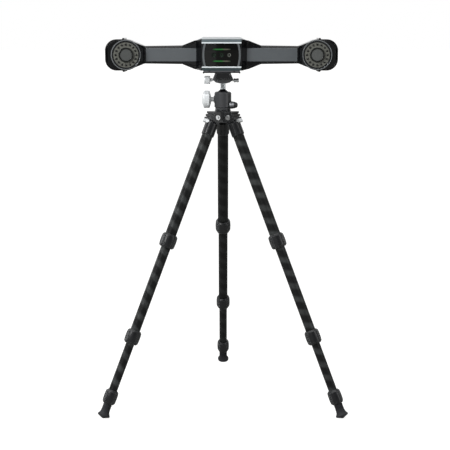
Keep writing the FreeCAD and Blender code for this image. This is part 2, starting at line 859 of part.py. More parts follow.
def ball_housing():
    """Housing round the ball, open at the top, with bosses for its two knobs."""
    body = new_body("ball_housing")
    foot_r, radius, height = dim.housing_foot_dia / 2, dim.housing_dia / 2, dim.housing_height
    middle = dim.ball_height
    cavity = dim.ball_dia / 2 + dim.slide_gap
    mouth = root(cavity * cavity - (height - middle) * (height - middle))
    recess, ceiling = dim.pan_hub_dia / 2 + dim.slide_gap, dim.pan_hub_height + dim.slide_gap
    lip = dim.housing_lip_dia / 2
    brow = radius - lip
    revolve(body, [(recess, 0), (foot_r, 0), (foot_r, 3.5), (radius, 5.5), (radius, height - brow), (lip, height, brow),
                   (mouth, height), (0, middle - cavity, -cavity), (0, ceiling), (recess, ceiling)])
    boss_start = cavity + 1
    knob = (0, dim.main_knob_height, dim.main_boss_dia / 2)
    pad(body, draw(body, "YZ", [knob], -dim.main_boss_reach), dim.main_boss_reach - boss_start)
    shaft = (0, dim.main_knob_height, dim.main_shaft_dia / 2 + dim.slide_gap)
    pocket(body, draw(body, "YZ", [shaft], -cavity * 0.7), dim.housing_dia)
    turn = -dim.pan_knob_turn.value
    shaft = (0, dim.pan_knob_height, dim.pan_shaft_dia / 2 + dim.slide_gap)
    sketch = draw(body, "YZ", [shaft], recess - 1, turn)
    pocket(body, sketch, dim.housing_dia, back=True)
    spot = draw(body, "YZ", [(0, dim.pan_knob_height, dim.pan_knob_dia / 2 + 0.6)], dim.pan_knob_start - dim.face_gap - 2,
                turn)
    pocket(body, spot, dim.housing_dia, back=True)
    return place(body, None, 0, axis_y, housing_z)


def ball_stem():
    """Ball, neck and the spigot that the clamp turns on."""
    ball, neck, spigot = dim.ball_dia / 2, dim.stem_dia / 2, dim.spigot_dia / 2
    flare = neck + dim.stem_flare
    meet = root(ball * ball - flare * flare)
    shoulder_z, top = dim.stem_length, dim.stem_length + dim.spigot_height
    body = turned("ball_stem", [(0, -ball), (ball, 0, ball), (flare, meet, ball), (neck, meet + 3), (neck, shoulder_z),
                                (spigot, shoulder_z), (spigot, top), (0, top)])
    return place(body, None, 0, axis_y, ball_z)


def main_lock_knob():
    """Large smooth knob whose shaft presses on the ball: domed on both faces, with a rounded rim."""
    body = new_body("main_lock_knob")
    shaft, neck, radius = dim.main_shaft_dia / 2, dim.main_neck_dia / 2, dim.main_knob_dia / 2
    start = dim.main_knob_start
    end = start + dim.main_knob_thick
    side = (dim.main_knob_thick - dim.main_knob_rim) / 2
    boss = dim.main_boss_reach + dim.face_gap
    flat = radius * 0.45
    round_edge = side * 0.8
    revolve(body, [(0, dim.main_shaft_start), (shaft, dim.main_shaft_start), (shaft, boss), (neck, boss), (neck, start),
                   (flat, start), (radius - round_edge, start + side), (radius, start + side + round_edge, round_edge),
                   (radius, end - side - round_edge), (radius - round_edge, end - side, round_edge), (flat, end),
                   (0, end)])
    return place(body, TO_LEFT, 0, axis_y, housing_z + dim.main_knob_height)


def pan_lock_knob():
    """Tapered knob with a round-ended cap that clamps the pan."""
    shaft, base, tip = dim.pan_shaft_dia / 2, dim.pan_knob_dia / 2, dim.pan_knob_tip_dia / 2
    start, cap = dim.pan_knob_start, dim.pan_cap_dia / 2
    end = start + dim.pan_knob_length
    top = end + dim.pan_cap_length
    body = turned("pan_lock_knob", [(0, dim.pan_shaft_start), (shaft, dim.pan_shaft_start), (shaft, start), (base, start),
                                    (base, start + 2), (tip, end), (cap, end), (cap, top - 2), (cap - 2, top, 2),
                                    (0, top)])
    flute = draw(body, "XY", [(base + 0.9, 0, 1.5)], start + 1.5)
    around(body, pocket(body, flute, dim.pan_knob_length, back=True), 12)
    turn = Rotation(Vector(0, 0, 1), -dim.pan_knob_turn.value).multiply(TO_RIGHT)
    return place(body, turn, 0, axis_y, housing_z + dim.pan_knob_height)


def jaw_side():
    """Right side of the clamp's front view, from its bilge over the gripping lip to the seat."""
    lip = dim.plate_neck / 2 + dim.slide_gap
    root_x = dim.plate_width / 2 + dim.slide_gap
    lip_z = dim.clamp_seat + dim.plate_lip + dim.slide_gap + root_x - lip
    return [(dim.clamp_bilge_half, dim.clamp_bilge_height), (dim.clamp_half_width, dim.clamp_waist_height),
            (dim.clamp_top_half, dim.clamp_jaw_height), (lip, dim.clamp_jaw_height), (lip, lip_z),
            (root_x, lip_z - root_x + lip), (root_x, dim.clamp_seat)]


def clamp_base():
    """Fixed half of the dovetail clamp, with the stem's socket and a channel in its seat."""
    long = dim.clamp_length / 2
    channel = dim.clamp_seat - dim.clamp_channel_depth
    parting = dim.clamp_parting
    keel = dim.clamp_keel_half
    low_corner = dim.clamp_bilge_height * (parting - keel) / (dim.clamp_bilge_half - keel)
    front = [(keel, 0)] + jaw_side() + [(dim.clamp_channel_half, dim.clamp_seat), (dim.clamp_channel_half, channel),
                                        (-dim.clamp_channel_half, channel), (-dim.clamp_channel_half, dim.clamp_seat),
                                        (-parting, dim.clamp_seat), (-parting, low_corner), (-keel, 0)]
    profile = prism("clamp_profile", "XZ", [front], -long, long)
    plan = prism("clamp_plan", "XY", [clamp_plan_outline()], -1, dim.clamp_jaw_height + 1)
    solid = shared("clamp_solid", [profile, plan])
    socket = rod("stem_socket", dim.spigot_dia / 2 + dim.spin_gap, dim.spigot_height + 1, z=-1 + dim.face_gap)
    draw_bolt = rod("draw_bolt_hole", dim.clamp_shaft_dia / 2 + dim.slide_gap, parting, TO_LEFT,
                    x=-(dim.clamp_shaft_start - dim.slide_gap), z=dim.clamp_knob_height)
    lock = rod("lock_hole", dim.lock_shaft_dia / 2 + dim.slide_gap, dim.clamp_half_width, TO_RIGHT,
               x=dim.spigot_dia / 2 - 1, z=dim.lock_knob_height)
    body = less("clamp_body", solid, joined("clamp_holes", [socket, draw_bolt, lock]))
    pin = rod("stop_pin", 1.3, 6, TO_FRONT, y=-long + 5, z=dim.clamp_seat - 1.3)
    return place(joined("clamp_base", [body, pin]), None, 0, axis_y, clamp_z)


def clamp_plan_outline():
    wide, long, corner = dim.clamp_half_width, dim.clamp_length / 2, dim.clamp_corner
    return [(wide, -long + corner), (wide, long - corner), (wide - corner, long, corner), (-wide + corner, long),
            (-wide, long - corner, corner), (-wide, -long + corner), (-wide + corner, -long, corner),
            (wide - corner, -long)]


def clamp_jaw():
    """Moving half of the clamp."""
    long = dim.clamp_length / 2
    parting = dim.clamp_parting + dim.face_gap
    keel, bilge = dim.clamp_keel_half, dim.clamp_bilge_half
    low_corner = dim.clamp_bilge_height * (parting - keel) / (bilge - keel)
    front = [(-x, z) for x, z in jaw_side()] + [(-parting, dim.clamp_seat), (-parting, low_corner)]
    profile = prism("jaw_profile", "XZ", [front], -long, long)
    plan = prism("jaw_plan", "XY", [clamp_plan_outline()], -1, dim.clamp_jaw_height + 1)
    hole = rod("jaw_hole", dim.clamp_shaft_dia / 2 + dim.slide_gap, dim.clamp_half_width, TO_LEFT,
               x=-dim.clamp_parting, z=dim.clamp_knob_height)
    jaw = less("clamp_jaw", shared("jaw_solid", [profile, plan]), hole)
    return place(jaw, None, 0, axis_y, clamp_z)


def clamp_knob():
    """Draw bolt with a fluted knob that pulls the jaw in."""
    body = new_body("clamp_knob")
    shaft, collar, radius = dim.clamp_shaft_dia / 2, dim.clamp_collar_dia / 2, dim.clamp_knob_dia / 2
    start, begin = dim.clamp_knob_start, dim.clamp_shaft_start
    end = start + dim.clamp_knob_length
    seat = dim.clamp_half_width + dim.face_gap
    revolve(body, [(0, begin), (shaft, begin), (shaft, seat), (collar, seat), (collar, start), (radius - 2, start),
                   (radius, start + 2, 2), (radius, end - 3), (radius - 3, end, 3), (0, end)])
    flute = draw(body, "XY", [(radius + 1.3, 0, 1.7)], start)
    around(body, pocket(body, flute, dim.clamp_knob_length, back=True), 12)
    return place(body, TO_LEFT, 0, axis_y, clamp_z + dim.clamp_knob_height)


def clamp_lock_knob():
    """Small knob that stops the clamp from turning on the stem."""
    shaft, radius = dim.lock_shaft_dia / 2, dim.lock_knob_dia / 2
    start, begin = dim.clamp_half_width + dim.face_gap * 3, dim.lock_shaft_start
    end = start + dim.lock_knob_length
    waist = start + dim.lock_knob_length * 0.45
    body = turned("clamp_lock_knob", [(0, begin), (shaft, begin), (shaft, start), (radius - 1, start),
                                      (radius, start + 1.5), (radius, waist - 1.5), (radius - 1.2, waist),
                                      (radius, waist + 1.5), (radius, end - 1.5), (radius - 1.5, end, 1.5), (0, end)])
    return place(body, TO_RIGHT, 0, axis_y, clamp_z + dim.lock_knob_height)


def seat_on_bar(item):
    """Move a piece from the bar's own frame to its place."""
    return place(item, None, dim.bar_shift, axis_y, bar_z)


def qr_plate():
    """Dovetail plate under the bar, with two screw recesses."""
    half, neck, lip = dim.plate_width / 2, dim.plate_neck / 2, dim.plate_lip
    flank = half - neck
    bottom = -(dim.module_half_height + dim.bottom_cover_height + dim.mount_thick + dim.plate_height)
    top = bottom + dim.plate_height
    waist = bottom + lip + flank
    flange = bottom + dim.clamp_jaw_height - dim.clamp_seat + dim.face_gap * 2
    right = [(half - 0.4, top), (half, top - 0.4), (half, flange), (neck, flange), (neck, waist), (half, bottom + lip),
             (half, bottom)]
    long = dim.plate_length / 2
    solid = prism("plate_profile", "XZ", [both_signs(right)], -long, long)
    recesses = [rod(f"plate_recess_{end}", 6.0, 5.0, y=long * 0.45 * end, z=bottom - 1) for end in (-1, 1)]
    plate = less("qr_plate", solid, joined("plate_recesses", recesses))
    return place(plate, None, 0, axis_y, bar_z)


def mount_plate():
    half, long, lip = dim.mount_width / 2, dim.mount_length / 2, dim.mount_lip
    top = -(dim.module_half_height + dim.bottom_cover_height)
    bottom = top - dim.mount_thick
    right = [(half - 0.5, top), (half, top - 0.5), (half, bottom - lip), (half - 2.5, bottom - lip), (half - 3.5, bottom)]
    return seat_on_bar(prism("mount_plate", "XZ", [both_signs(right)], -long, long))


def module_outline():
    """Front view of the middle of the bar with its wings."""
    right = [(dim.module_half_width, dim.module_half_height), (dim.shoulder_reach, dim.shoulder_half),
             (dim.wing_reach, dim.arm_half)]
    return both_signs(right + [(x, -z) for x, z in reversed(right)])


def arm_outline():
    right = [(dim.wing_reach, dim.arm_half), (dim.head_taper_start + 6, dim.arm_end_half)]
    return both_signs(right + [(x, -z) for x, z in reversed(right)])


def head_outline(side, inset):
    """Front view of one head, stepped down past the lens where the end cap wraps it."""
    lens, half = dim.lens_reach, dim.head_half - inset
    tangent = half * 0.5
    tangent_z = half * root(0.75)
    step = half - dim.cap_thick
    end = dim.bar_half - dim.cap_thick - inset
    corner = dim.head_corner - inset
    start = dim.head_taper_start
    low = dim.arm_end_half - inset
    corners = [(start, low), (lens - tangent, tangent_z), (lens, half, -half), (lens, step),
               (end - corner, step), (end, step - corner, -corner), (end, -step + corner),
               (end - corner, -step, -corner), (lens, -step), (lens, -half), (lens - tangent, -tangent_z, -half),
               (start, -low)]
    if side > 0:
        return corners
    return [(-c[0], c[1], -c[2]) if len(c) == 3 else (-c[0], c[1]) for c in corners]


def head_solid(name, sign, side, inset):
    """One head in front of or behind the parting plane, or with an inset the room inside it."""
    start, arm = dim.head_taper_start, dim.arm_depth - 0.1 - inset
    front = (dim.head_front + 6 if sign < 0 else dim.head_back) - inset
    end, taper = dim.bar_half - dim.cap_thick - inset, dim.head_half * 0.34 + inset
    past = -sign * as_size(inset)
    plan = [(side * start, past), (side * start, sign * arm), (side * (start + taper), sign * front),
            (side * (end - 4), sign * front), (side * end, sign * (front - 8)), (side * end, past)]
    low, high = (-front - 1, past) if sign < 0 else (past, front + 1)
    tall = dim.head_half + 1
    return shared(f"{name}_head_{side}", [prism(f"{name}_head_face_{side}", "XZ", [head_outline(side, inset)], low, high),
                                          prism(f"{name}_head_plan_{side}", "XY", [plan], -tall, tall)])


def bar_solid(name, sign):
    """One half of the bar as a solid: middle, arms and heads, in front of or behind the parting plane."""
    far = (dim.module_front if sign < 0 else dim.module_back) + 4
    low, high = (-far, 0) if sign < 0 else (0, far)
    bevel, tall, wing = dim.module_bevel_depth, dim.module_half_height + 0.1, dim.wing_reach
    deep = dim.module_front if sign < 0 else dim.module_back
    module = shared(name + "_module", [
        prism(name + "_face", "XZ", [module_outline()], low, high),
        prism(name + "_plan", "XY", [module_plan(sign, 0)], -tall, tall),
        prism(name + "_side", "YZ", [[(sign * deep, -dim.module_bevel_half), (sign * deep, dim.module_bevel_half),
                                      (sign * (deep - bevel), tall), (0, tall), (0, -tall),
                                      (sign * (deep - bevel), -tall)]], -wing, wing),
    ])
    arm, edge, start = dim.arm_depth, dim.arm_chamfer, dim.head_taper_start
    arms = shared(name + "_arms", [
        prism(name + "_arm_face", "XZ", [arm_outline()], low, high),
        prism(name + "_arm_side", "YZ", [[(sign * arm, -dim.arm_end_half + edge), (sign * arm, dim.arm_end_half - edge),
                                          (sign * (arm - edge), dim.arm_half), (0, dim.arm_half), (0, -dim.arm_half),
                                          (sign * (arm - edge), -dim.arm_half)]], -dim.lens_reach, dim.lens_reach),
    ])
    heads = [head_solid(name, sign, side, 0) for side in (-1, 1)]
    return joined(name + "_solid", [module, arms] + heads)


def module_plan(sign, inset):
    """Plan of the middle of the bar: flat face, slanted side blocks and wings, on one side of the parting plane."""
    deep = (dim.module_front if sign < 0 else dim.module_back) - inset
    block = dim.block_front - inset
    right = [(dim.wing_reach, 0), (dim.wing_reach, sign * (dim.arm_depth - 0.1 - inset)), (dim.block_reach - inset, sign * block),
             (dim.face_half - inset, sign * deep)]
    return both_signs(right)


def lens_frame(side):
    """Turn that points one head's lens at the working space in front of the bar's middle."""
    return Rotation(Vector(0, 0, 1), -side * dim.toe_in.value)


def at_lens(item, side, turn=None):
    """Stand an item, drawn about the lens axis, on one lens."""
    frame = lens_frame(side)
    return place(item, frame.multiply(turn) if turn else frame, side * dim.lens_reach)


def before_face(name, side, depth):
    """All that lies before one head's toed-in face, or a little behind it."""
    far = dim.head_half * 2.2
    return at_lens(group(f"{name}_lens_{side}", [block(f"{name}_{side}", (-far, -far, -far), (far, -depth, far))]), side)


def fin_slots():
    """Slots along the sloping edges of the wings, a little deeper than the front face."""
    slope_x = dim.wing_reach - dim.shoulder_reach
    slope_z = dim.shoulder_half - dim.arm_half
    slots = []
    for up in (-1, 1):
        for side in (-1, 1):
            for number in range(1, 3):
                drop = dim.fin_pitch * number
                run = slope_x * (slope_z - drop) / slope_z
                start, z = dim.shoulder_reach - 3, dim.shoulder_half - drop
                slots.append([(side * start, up * z), (side * dim.shoulder_reach, up * z),
                              (side * (dim.shoulder_reach + run), up * dim.arm_half),
                              (side * (dim.shoulder_reach + run - dim.fin_width * 2.5), up * dim.arm_half),
                              (side * (dim.shoulder_reach - 0.5), up * (z - dim.fin_width)),
                              (side * start, up * (z - dim.fin_width))])
    far = dim.module_front + 1
    tall = dim.module_half_height + 2
    core = prism("fin_core", "XY", [module_plan(-1, dim.fin_depth)], -tall, tall)
    return less("fin_slots", prism("fin_bars", "XZ", slots, -far, 0), core)


def bowed(half_width, middle_half, half_height):
    """Closed outline with flat top and bottom and sides that bow outwards."""
    sagitta = middle_half - half_width
    bow = half_height * half_height / (sagitta * 2) + sagitta / 2
    return [(half_width, -half_height), (half_width, half_height, bow), (-half_width, half_height),
            (-half_width, -half_height, bow)]


def front_shell():
    """Front half of the bar's housing."""
    wall = dim.wall
    deep, tall = dim.module_front - wall - 0.5, dim.module_bevel_half - 0.5
    wide = dim.face_half - 2
    tools = [
        block("front_room", (-wide, -deep, -tall), (wide, 1, tall)),
        block("front_arm_room", (-dim.head_taper_start - 4, -dim.arm_depth + wall, -dim.arm_half + dim.arm_chamfer),
              (dim.head_taper_start + 4, 1, dim.arm_half - dim.arm_chamfer)),
        prism("window_opening", "XZ", [bowed(dim.opening_half_width, dim.opening_half_width + 2,
                                             dim.opening_half_height)], -dim.module_front - 1, -deep + 1),
        fin_slots(),
    ]
    gap = dim.cap_gap
    for side in (-1, 1):
        near, far = dim.panel_start - gap, dim.panel_end + gap
        tall_panel = dim.panel_half + gap
        tools.append(prism(f"panel_recess_{side}", "XZ",
                           [[(side * near, -tall_panel), (side * far, -tall_panel), (side * far, tall_panel),
                             (side * near, tall_panel)]], -dim.arm_depth - 6, -dim.arm_depth + dim.panel_recess))
        room = head_solid("front_room", -1, side, wall)
        tools.append(less(f"front_head_room_{side}", room, before_face("room_front", side, dim.head_front - wall)))
        tools.append(before_face("face_front", side, dim.head_front))
        hole = rod(f"camera_hole_{side}", dim.body_dia / 2 + 1, dim.head_front, TO_FRONT, y=-dim.head_front / 2)
        tools.append(at_lens(group(f"camera_hole_lens_{side}", [hole]), side))
    shell = less("front_hollow", bar_solid("front", -1), joined("front_tools", tools))
    posts = []
    for x in (-1, 1):
        for z in (-1, 1):
            spot_x = dim.board_width / 2 - dim.post_inset
            spot_z = dim.board_height / 2 - dim.post_inset
            posts.append(rod(f"board_post_{x}_{z}", dim.post_dia / 2, deep - dim.board_front + 0.2, TO_BACK,
                             x * spot_x, -deep - 0.2, z * spot_z))
    return seat_on_bar(joined("front_shell", [shell] + posts))


def rear_shell():
    """Rear half of the bar's housing, with holes for the sockets."""
    wall = dim.wall
    deep, tall = dim.module_back - wall - 0.5, dim.module_bevel_half - 0.5
    wide = dim.face_half - 2
    tools = [
        block("rear_room", (-wide, -1, -tall), (wide, deep, tall)),
        block("rear_arm_room", (-dim.head_taper_start - 4, -1, -dim.arm_half + dim.arm_chamfer),
              (dim.head_taper_start + 4, dim.arm_depth - wall, dim.arm_half - dim.arm_chamfer)),
    ]
    for side in (-1, 1):
        tools.append(head_solid("rear_room", 1, side, wall))
        tools.append(rod(f"socket_hole_{side}", dim.socket_dia / 2 + 0.1, wall * 3, TO_BACK,
                         side * dim.socket_spacing / 2, dim.module_back - wall * 2, -dim.socket_drop))
    return seat_on_bar(less("rear_shell", bar_solid("rear", 1), joined("rear_tools", tools)))


def centre_covers():
    """Light covers over and under the middle of the bar."""
    tall, half = dim.module_half_height, dim.module_half_width
    drop = (dim.top_cover_reach - half) * (tall - dim.shoulder_half) / (dim.shoulder_reach - half)
    top = [(dim.top_cover_half, tall + dim.top_cover_height), (dim.top_cover_reach, tall - drop + 0.6),
           (dim.top_cover_reach, tall - drop), (half, tall)]
    bottom = [(dim.bottom_cover_half, -tall), (dim.bottom_cover_half - 1.5, -tall - dim.bottom_cover_height)]
    front = dim.module_front - dim.module_bevel_depth
    back = dim.module_back - dim.module_bevel_depth
    return seat_on_bar(group("centre_covers", [prism("top_cover", "XZ", [both_signs(top)], -front, back),
                                               prism("bottom_cover", "XZ", [both_signs(bottom)], -front, back)]))


def end_caps():
    """C-shaped guards round the ends of the bar, with a lip over each lens."""
    lens, half, end, thick = dim.lens_reach, dim.head_half, dim.bar_half, dim.cap_thick
    corner, gap = dim.head_corner, dim.cap_gap
    inner, inner_end = half - thick + gap, end - thick + gap
    start = lens + gap
    lip = half + dim.cap_lip
    wide = dim.cap_lip_width
    outline = [(start, inner), (start, lip), (start + wide, lip), (start + wide + 1.5, half), (end - corner, half),
               (end, half - corner, -corner), (end, -half + corner), (end - corner, -half, -corner),
               (start + wide + 1.5, -half), (start + wide, -lip), (start, -lip), (start, -inner), (inner_end - corner, -inner),
               (inner_end, -inner + corner, corner), (inner_end, inner - corner), (inner_end - corner, inner, corner)]
    solid = prism("cap_profile", "XZ", [outline], -dim.head_front - 8, dim.head_back)
    cap = less("right_end_cap", solid, before_face("cap_front", 1, dim.head_front))
    return seat_on_bar(mirrored_pair("end_caps", cap))


def window_bezel():
    """Bright frame of the window: two bars joined by bowed sides."""
    tall, bar, wide = dim.bezel_half_height, dim.bezel_bar, dim.face_half
    sagitta = dim.bezel_middle_half - dim.bezel_end_half
    bow = tall * tall / (sagitta * 2) + sagitta / 2
    outer = [(wide, -tall), (dim.bezel_end_half, -tall), (dim.bezel_end_half, tall, bow), (wide, tall), (wide, tall + bar),
             (-wide, tall + bar), (-wide, tall), (-dim.bezel_end_half, tall), (-dim.bezel_end_half, -tall, bow),
             (-wide, -tall), (-wide, -tall - bar), (wide, -tall - bar)]
    inner = bowed(dim.bezel_end_half - dim.bezel_arc_width, dim.bezel_middle_half - dim.bezel_arc_width, tall)
    front = dim.module_front
    return seat_on_bar(prism("window_bezel", "XZ", [outer, inner], -front - dim.bezel_proud, -front))


def light_bar_outline(z, extra):
    """Long round-ended slot for a status light."""
    radius = dim.light_bar_width / 2 + extra
    straight = dim.light_bar_length / 2 - dim.light_bar_width / 2
    end = straight + radius
    return [(straight, z - radius), (end, z, radius), (straight, z + radius, radius), (-straight, z + radius),
            (-end, z, radius), (-straight, z - radius, radius)]


def sensor_places():
    return [number * dim.sensor_pitch for number in (-1, 0, 1)]


def display_window():
    """Dark window with holes for the sensors and slots for the status lights."""
    gap = dim.cap_gap
    arc = dim.bezel_arc_width + gap
    shapes = [bowed(dim.bezel_end_half - arc, dim.bezel_middle_half - arc, dim.bezel_half_height - gap)]
    shapes += [(x, 0, dim.sensor_dia / 2 + gap) for x in sensor_places()]
    shapes += [light_bar_outline(z, gap) for z in (dim.light_bar_up, -dim.light_bar_down)]
    front = dim.module_front
    return seat_on_bar(prism("display_window", "XZ", shapes, -front - dim.glass_thick, -front))


def sensor_barrels():
    """Three small sensor barrels that stand on the main board behind the window."""
    radius = dim.sensor_dia / 2
    face = dim.module_front + dim.glass_thick + 0.4
    items = []
    for number, x in enumerate(sensor_places(), start=1):
        corners = [(0, dim.board_front), (radius, dim.board_front), (radius, face), (radius - 1, face),
                   (radius - 2.4, face - 1.4), (0, face - 1.4)]
        items.append(place(turned(f"sensor_barrel_{number}", corners), TO_FRONT, x))
    return seat_on_bar(group("sensor_barrels", items))


def status_light_bars():
    face = dim.module_front + dim.glass_thick + 0.2
    bars = [prism(f"light_bar_{name}", "XZ", [light_bar_outline(z, 0)], -face, -dim.board_front)
            for name, z in (("up", dim.light_bar_up), ("down", -dim.light_bar_down))]
    return seat_on_bar(group("status_light_bars", bars))


def arm_panels():
    """Raised panels let into the arms, with bevelled edges."""
    half, edge = dim.panel_half, dim.panel_edge
    front, back = dim.arm_depth + dim.panel_proud, dim.arm_depth - dim.panel_recess
    near, far = dim.panel_start, dim.panel_end
    face = prism("panel_face", "XZ", [[(near, -half), (far, -half), (far, half), (near, half)]], -front, -back)
    side = prism("panel_side", "YZ", [[(-front, -half + edge), (-front, half - edge), (-front + edge, half),
                                       (-back, half), (-back, -half), (-front + edge, -half)]], near, far)
    return seat_on_bar(mirrored_pair("arm_panels", shared("right_arm_panel", [face, side])))


def bezel_rings():
    outer, bore, height = dim.ring_dia / 2, dim.ring_bore / 2, dim.ring_height
    face = dim.head_front
    ring = turned("right_bezel_ring", [(bore, face), (outer, face), (outer, face + height - 1.6),
                                       (outer - 1, face + height), (bore + 0.6, face + height),
                                       (bore, face + height - 1.2)])
    return seat_on_bar(mirrored_pair("bezel_rings", at_lens(ring, 1, TO_FRONT)))


def ring_light_boards():
    """Round circuit boards with a ring of lamps."""
    body = new_body("right_ring_board")
    start = dim.head_front + dim.flange_thick
    hole = dim.barrel_dia / 2 + dim.cap_gap
    pad(body, draw(body, "XY", [(0, 0, dim.board_dia / 2), (0, 0, hole)], start), dim.board_thick)
    near, far = dim.led_circle - dim.led_side / 2, dim.led_circle + dim.led_side / 2
    side = dim.led_side / 2
    lamp = draw(body, "XY", [[(near, -side), (far, -side), (far, side), (near, side)]], start + dim.board_thick)
    around(body, pad(body, lamp, dim.led_height), dim.led_count)
    return seat_on_bar(mirrored_pair("ring_light_boards", at_lens(body, 1, TO_FRONT)))


def lens_filters():
    radius = dim.filter_dia / 2
    start = dim.barrel_front - dim.filter_inset - dim.filter_thick
    end = dim.barrel_front - dim.filter_inset
    disc = turned("right_lens_filter", [(0, start), (radius, start), (radius, end - 0.4), (radius - 0.4, end), (0, end)])
    return seat_on_bar(mirrored_pair("lens_filters", at_lens(disc, 1, TO_FRONT)))


def camera_modules():
    """Cameras: a barrel through the ring light, a flange on the head's face and a base on the beam."""
    barrel, body_r, flange = dim.barrel_dia / 2, dim.body_dia / 2, dim.board_dia / 2
    face, front = dim.head_front, dim.barrel_front
    seat = dim.filter_dia / 2 + 0.1
    floor = front - dim.filter_inset - dim.filter_thick
    camera = turned("right_camera_tube", [(0, 0), (body_r, 0), (body_r, face), (flange, face),
                                          (flange, face + dim.flange_thick), (barrel, face + dim.flange_thick),
                                          (barrel, front - 0.6), (barrel - 0.6, front), (seat, front), (seat, floor),
                                          (0, floor)])
    half = dim.camera_base / 2
    base = block("right_camera_base", (dim.lens_reach - half, -dim.wall, -half), (dim.lens_reach + half, beam_front, half))
    camera = at_lens(camera, 1, TO_FRONT)
    return seat_on_bar(mirrored_pair("camera_modules", joined("right_camera", [camera, base])))


beam_back = dim.arm_depth - dim.wall
beam_front = beam_back - dim.beam_thick


def spine_beam():
    """Stiff beam that keeps the two cameras in line, pierced along its length."""
    reach, half = dim.beam_reach, dim.beam_height / 2
    window = [(-6, -half + 6), (-6, half - 6), (6, half - 6), (6, -half + 6)]
    windows = [[(x + dim.lens_reach * place_along, z) for x, z in window] for place_along in (-0.7, -0.35, 0, 0.35, 0.7)]
    outline = [(-reach, -half), (reach, -half), (reach, half), (-reach, half)]
    return seat_on_bar(prism("spine_beam", "XZ", [outline] + windows, beam_front, beam_back))


def main_board():
    """Circuit board behind the window, with its larger chips."""
    wide, tall, front = dim.board_width / 2, dim.board_height / 2, dim.board_front
    back = front - dim.board_thick
    board = block("board_sheet", (-wide, -front, -tall), (wide, -back, tall))
    chips = [block(f"chip_{number}", (x, -back, z), (x + size, -back + 2, z + size))
             for number, (x, z, size) in enumerate(((-30, -6, 18), (4, -12, 14), (-8, 12, 10), (22, 6, 10)), start=1)]
    return seat_on_bar(joined("main_board", [board] + chips))


def connectors():
    """Two round sockets on the back, one for data and one for power."""
    tail = dim.module_back - dim.wall * 1.6
    face = dim.module_back
    end = face + dim.socket_length
    outer, bore, flange = dim.socket_dia / 2, dim.socket_bore / 2, dim.socket_flange_dia / 2
    items = []
    for name, side in (("data", -1), ("power", 1)):
        corners = [(0, tail), (outer, tail), (outer, face), (flange, face), (flange, face + 1.5), (outer, face + 2),
                   (outer, end - 0.6), (outer - 0.6, end), (bore, end), (bore, end - dim.socket_depth),
                   (0, end - dim.socket_depth)]
        items.append(place(turned(f"{name}_socket", corners), TO_BACK, side * dim.socket_spacing / 2, 0, -dim.socket_drop))
    return seat_on_bar(group("connectors", items))


def screws():
    """Heads of the screws that close the back, and of those that hold the bottom cover."""
    radius, height = dim.shell_screw_dia / 2, dim.shell_screw_height
    items = []
    for x in (-1, 1):
        for z in (-1, 1):
            spots = (("module", dim.face_half - 6, dim.module_back, dim.module_bevel_half - 6),
                     ("arm", dim.head_taper_start * 0.75, dim.arm_depth, dim.arm_end_half - dim.arm_chamfer - 4),
                     ("head", dim.lens_reach + 10, dim.head_back, dim.head_half * 0.6))
            for name, reach, back, rise in spots:
                items.append(rod(f"{name}_screw_{x}_{z}", radius, height, TO_BACK, x * reach, back, z * rise))
        cover_z = -dim.module_half_height - dim.bottom_cover_height / 2
        front = dim.module_front - dim.module_bevel_depth
        items.append(rod(f"cover_screw_{x}", 1.4, 1.2, TO_FRONT, x * 29, -front, cover_z))
    return seat_on_bar(group("screws", items))


for name, azimuth in AZIMUTHS.items():
    leg(name, azimuth)

for make in (spider, spider_fasteners, pan_base, ball_housing, ball_stem, main_lock_knob, pan_lock_knob, clamp_base,
             clamp_jaw, clamp_knob, clamp_lock_knob, qr_plate, mount_plate, rear_shell, front_shell, centre_covers,
             window_bezel, display_window, arm_panels, end_caps, bezel_rings, ring_light_boards, lens_filters,
             camera_modules, sensor_barrels, status_light_bars, spine_beam, main_board, connectors, screws):
    keep(make(), make.__name__)

doc.recompute()
for item in doc.Objects:
    if {"Invalid", "Error"} & set(item.State):
        raise RuntimeError(f"{item.Label} failed: {item.State}")
os.makedirs("parts", exist_ok=True)
for item in sub_parts:
    if item.Shape.isNull() or not item.Shape.isValid():
        raise RuntimeError(f"{item.Label} has no valid shape")
    item.Shape.exportStep(f"parts/{item.Label}.step")
print(len(sub_parts), "sub-parts")
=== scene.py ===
"""Finishes, small detail, floor, lights and camera for a two-camera optical tracker on its tripod."""

import json
import math

import bmesh
import bpy
from bpy.props import FloatProperty, FloatVectorProperty, IntProperty, PointerProperty
from mathutils import Matrix, Vector


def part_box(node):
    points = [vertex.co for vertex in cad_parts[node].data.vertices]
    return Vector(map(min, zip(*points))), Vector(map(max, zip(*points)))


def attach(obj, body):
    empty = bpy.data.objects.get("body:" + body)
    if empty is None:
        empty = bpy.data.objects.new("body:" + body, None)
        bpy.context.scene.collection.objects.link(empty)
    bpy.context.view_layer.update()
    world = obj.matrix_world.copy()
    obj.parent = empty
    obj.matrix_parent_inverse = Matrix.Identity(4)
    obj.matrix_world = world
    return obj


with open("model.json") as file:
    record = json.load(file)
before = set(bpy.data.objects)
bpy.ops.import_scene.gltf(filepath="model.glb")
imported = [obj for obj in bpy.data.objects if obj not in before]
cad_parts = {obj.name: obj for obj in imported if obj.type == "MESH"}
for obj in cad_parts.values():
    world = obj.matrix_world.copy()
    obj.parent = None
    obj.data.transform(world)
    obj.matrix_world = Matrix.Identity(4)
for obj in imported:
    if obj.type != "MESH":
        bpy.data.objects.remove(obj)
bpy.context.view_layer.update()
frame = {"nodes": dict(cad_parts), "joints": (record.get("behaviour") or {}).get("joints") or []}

bl_info = {
    "name": "Optical Tracker Dressing",
    "version": (1, 0, 0),
    "blender": (4, 5, 0),
    "location": "3D View > Sidebar > Tracker",
    "description": "Dresses the tracker, its ball head and its tripod, and sets them on a studio floor",
    "category": "Object",
}

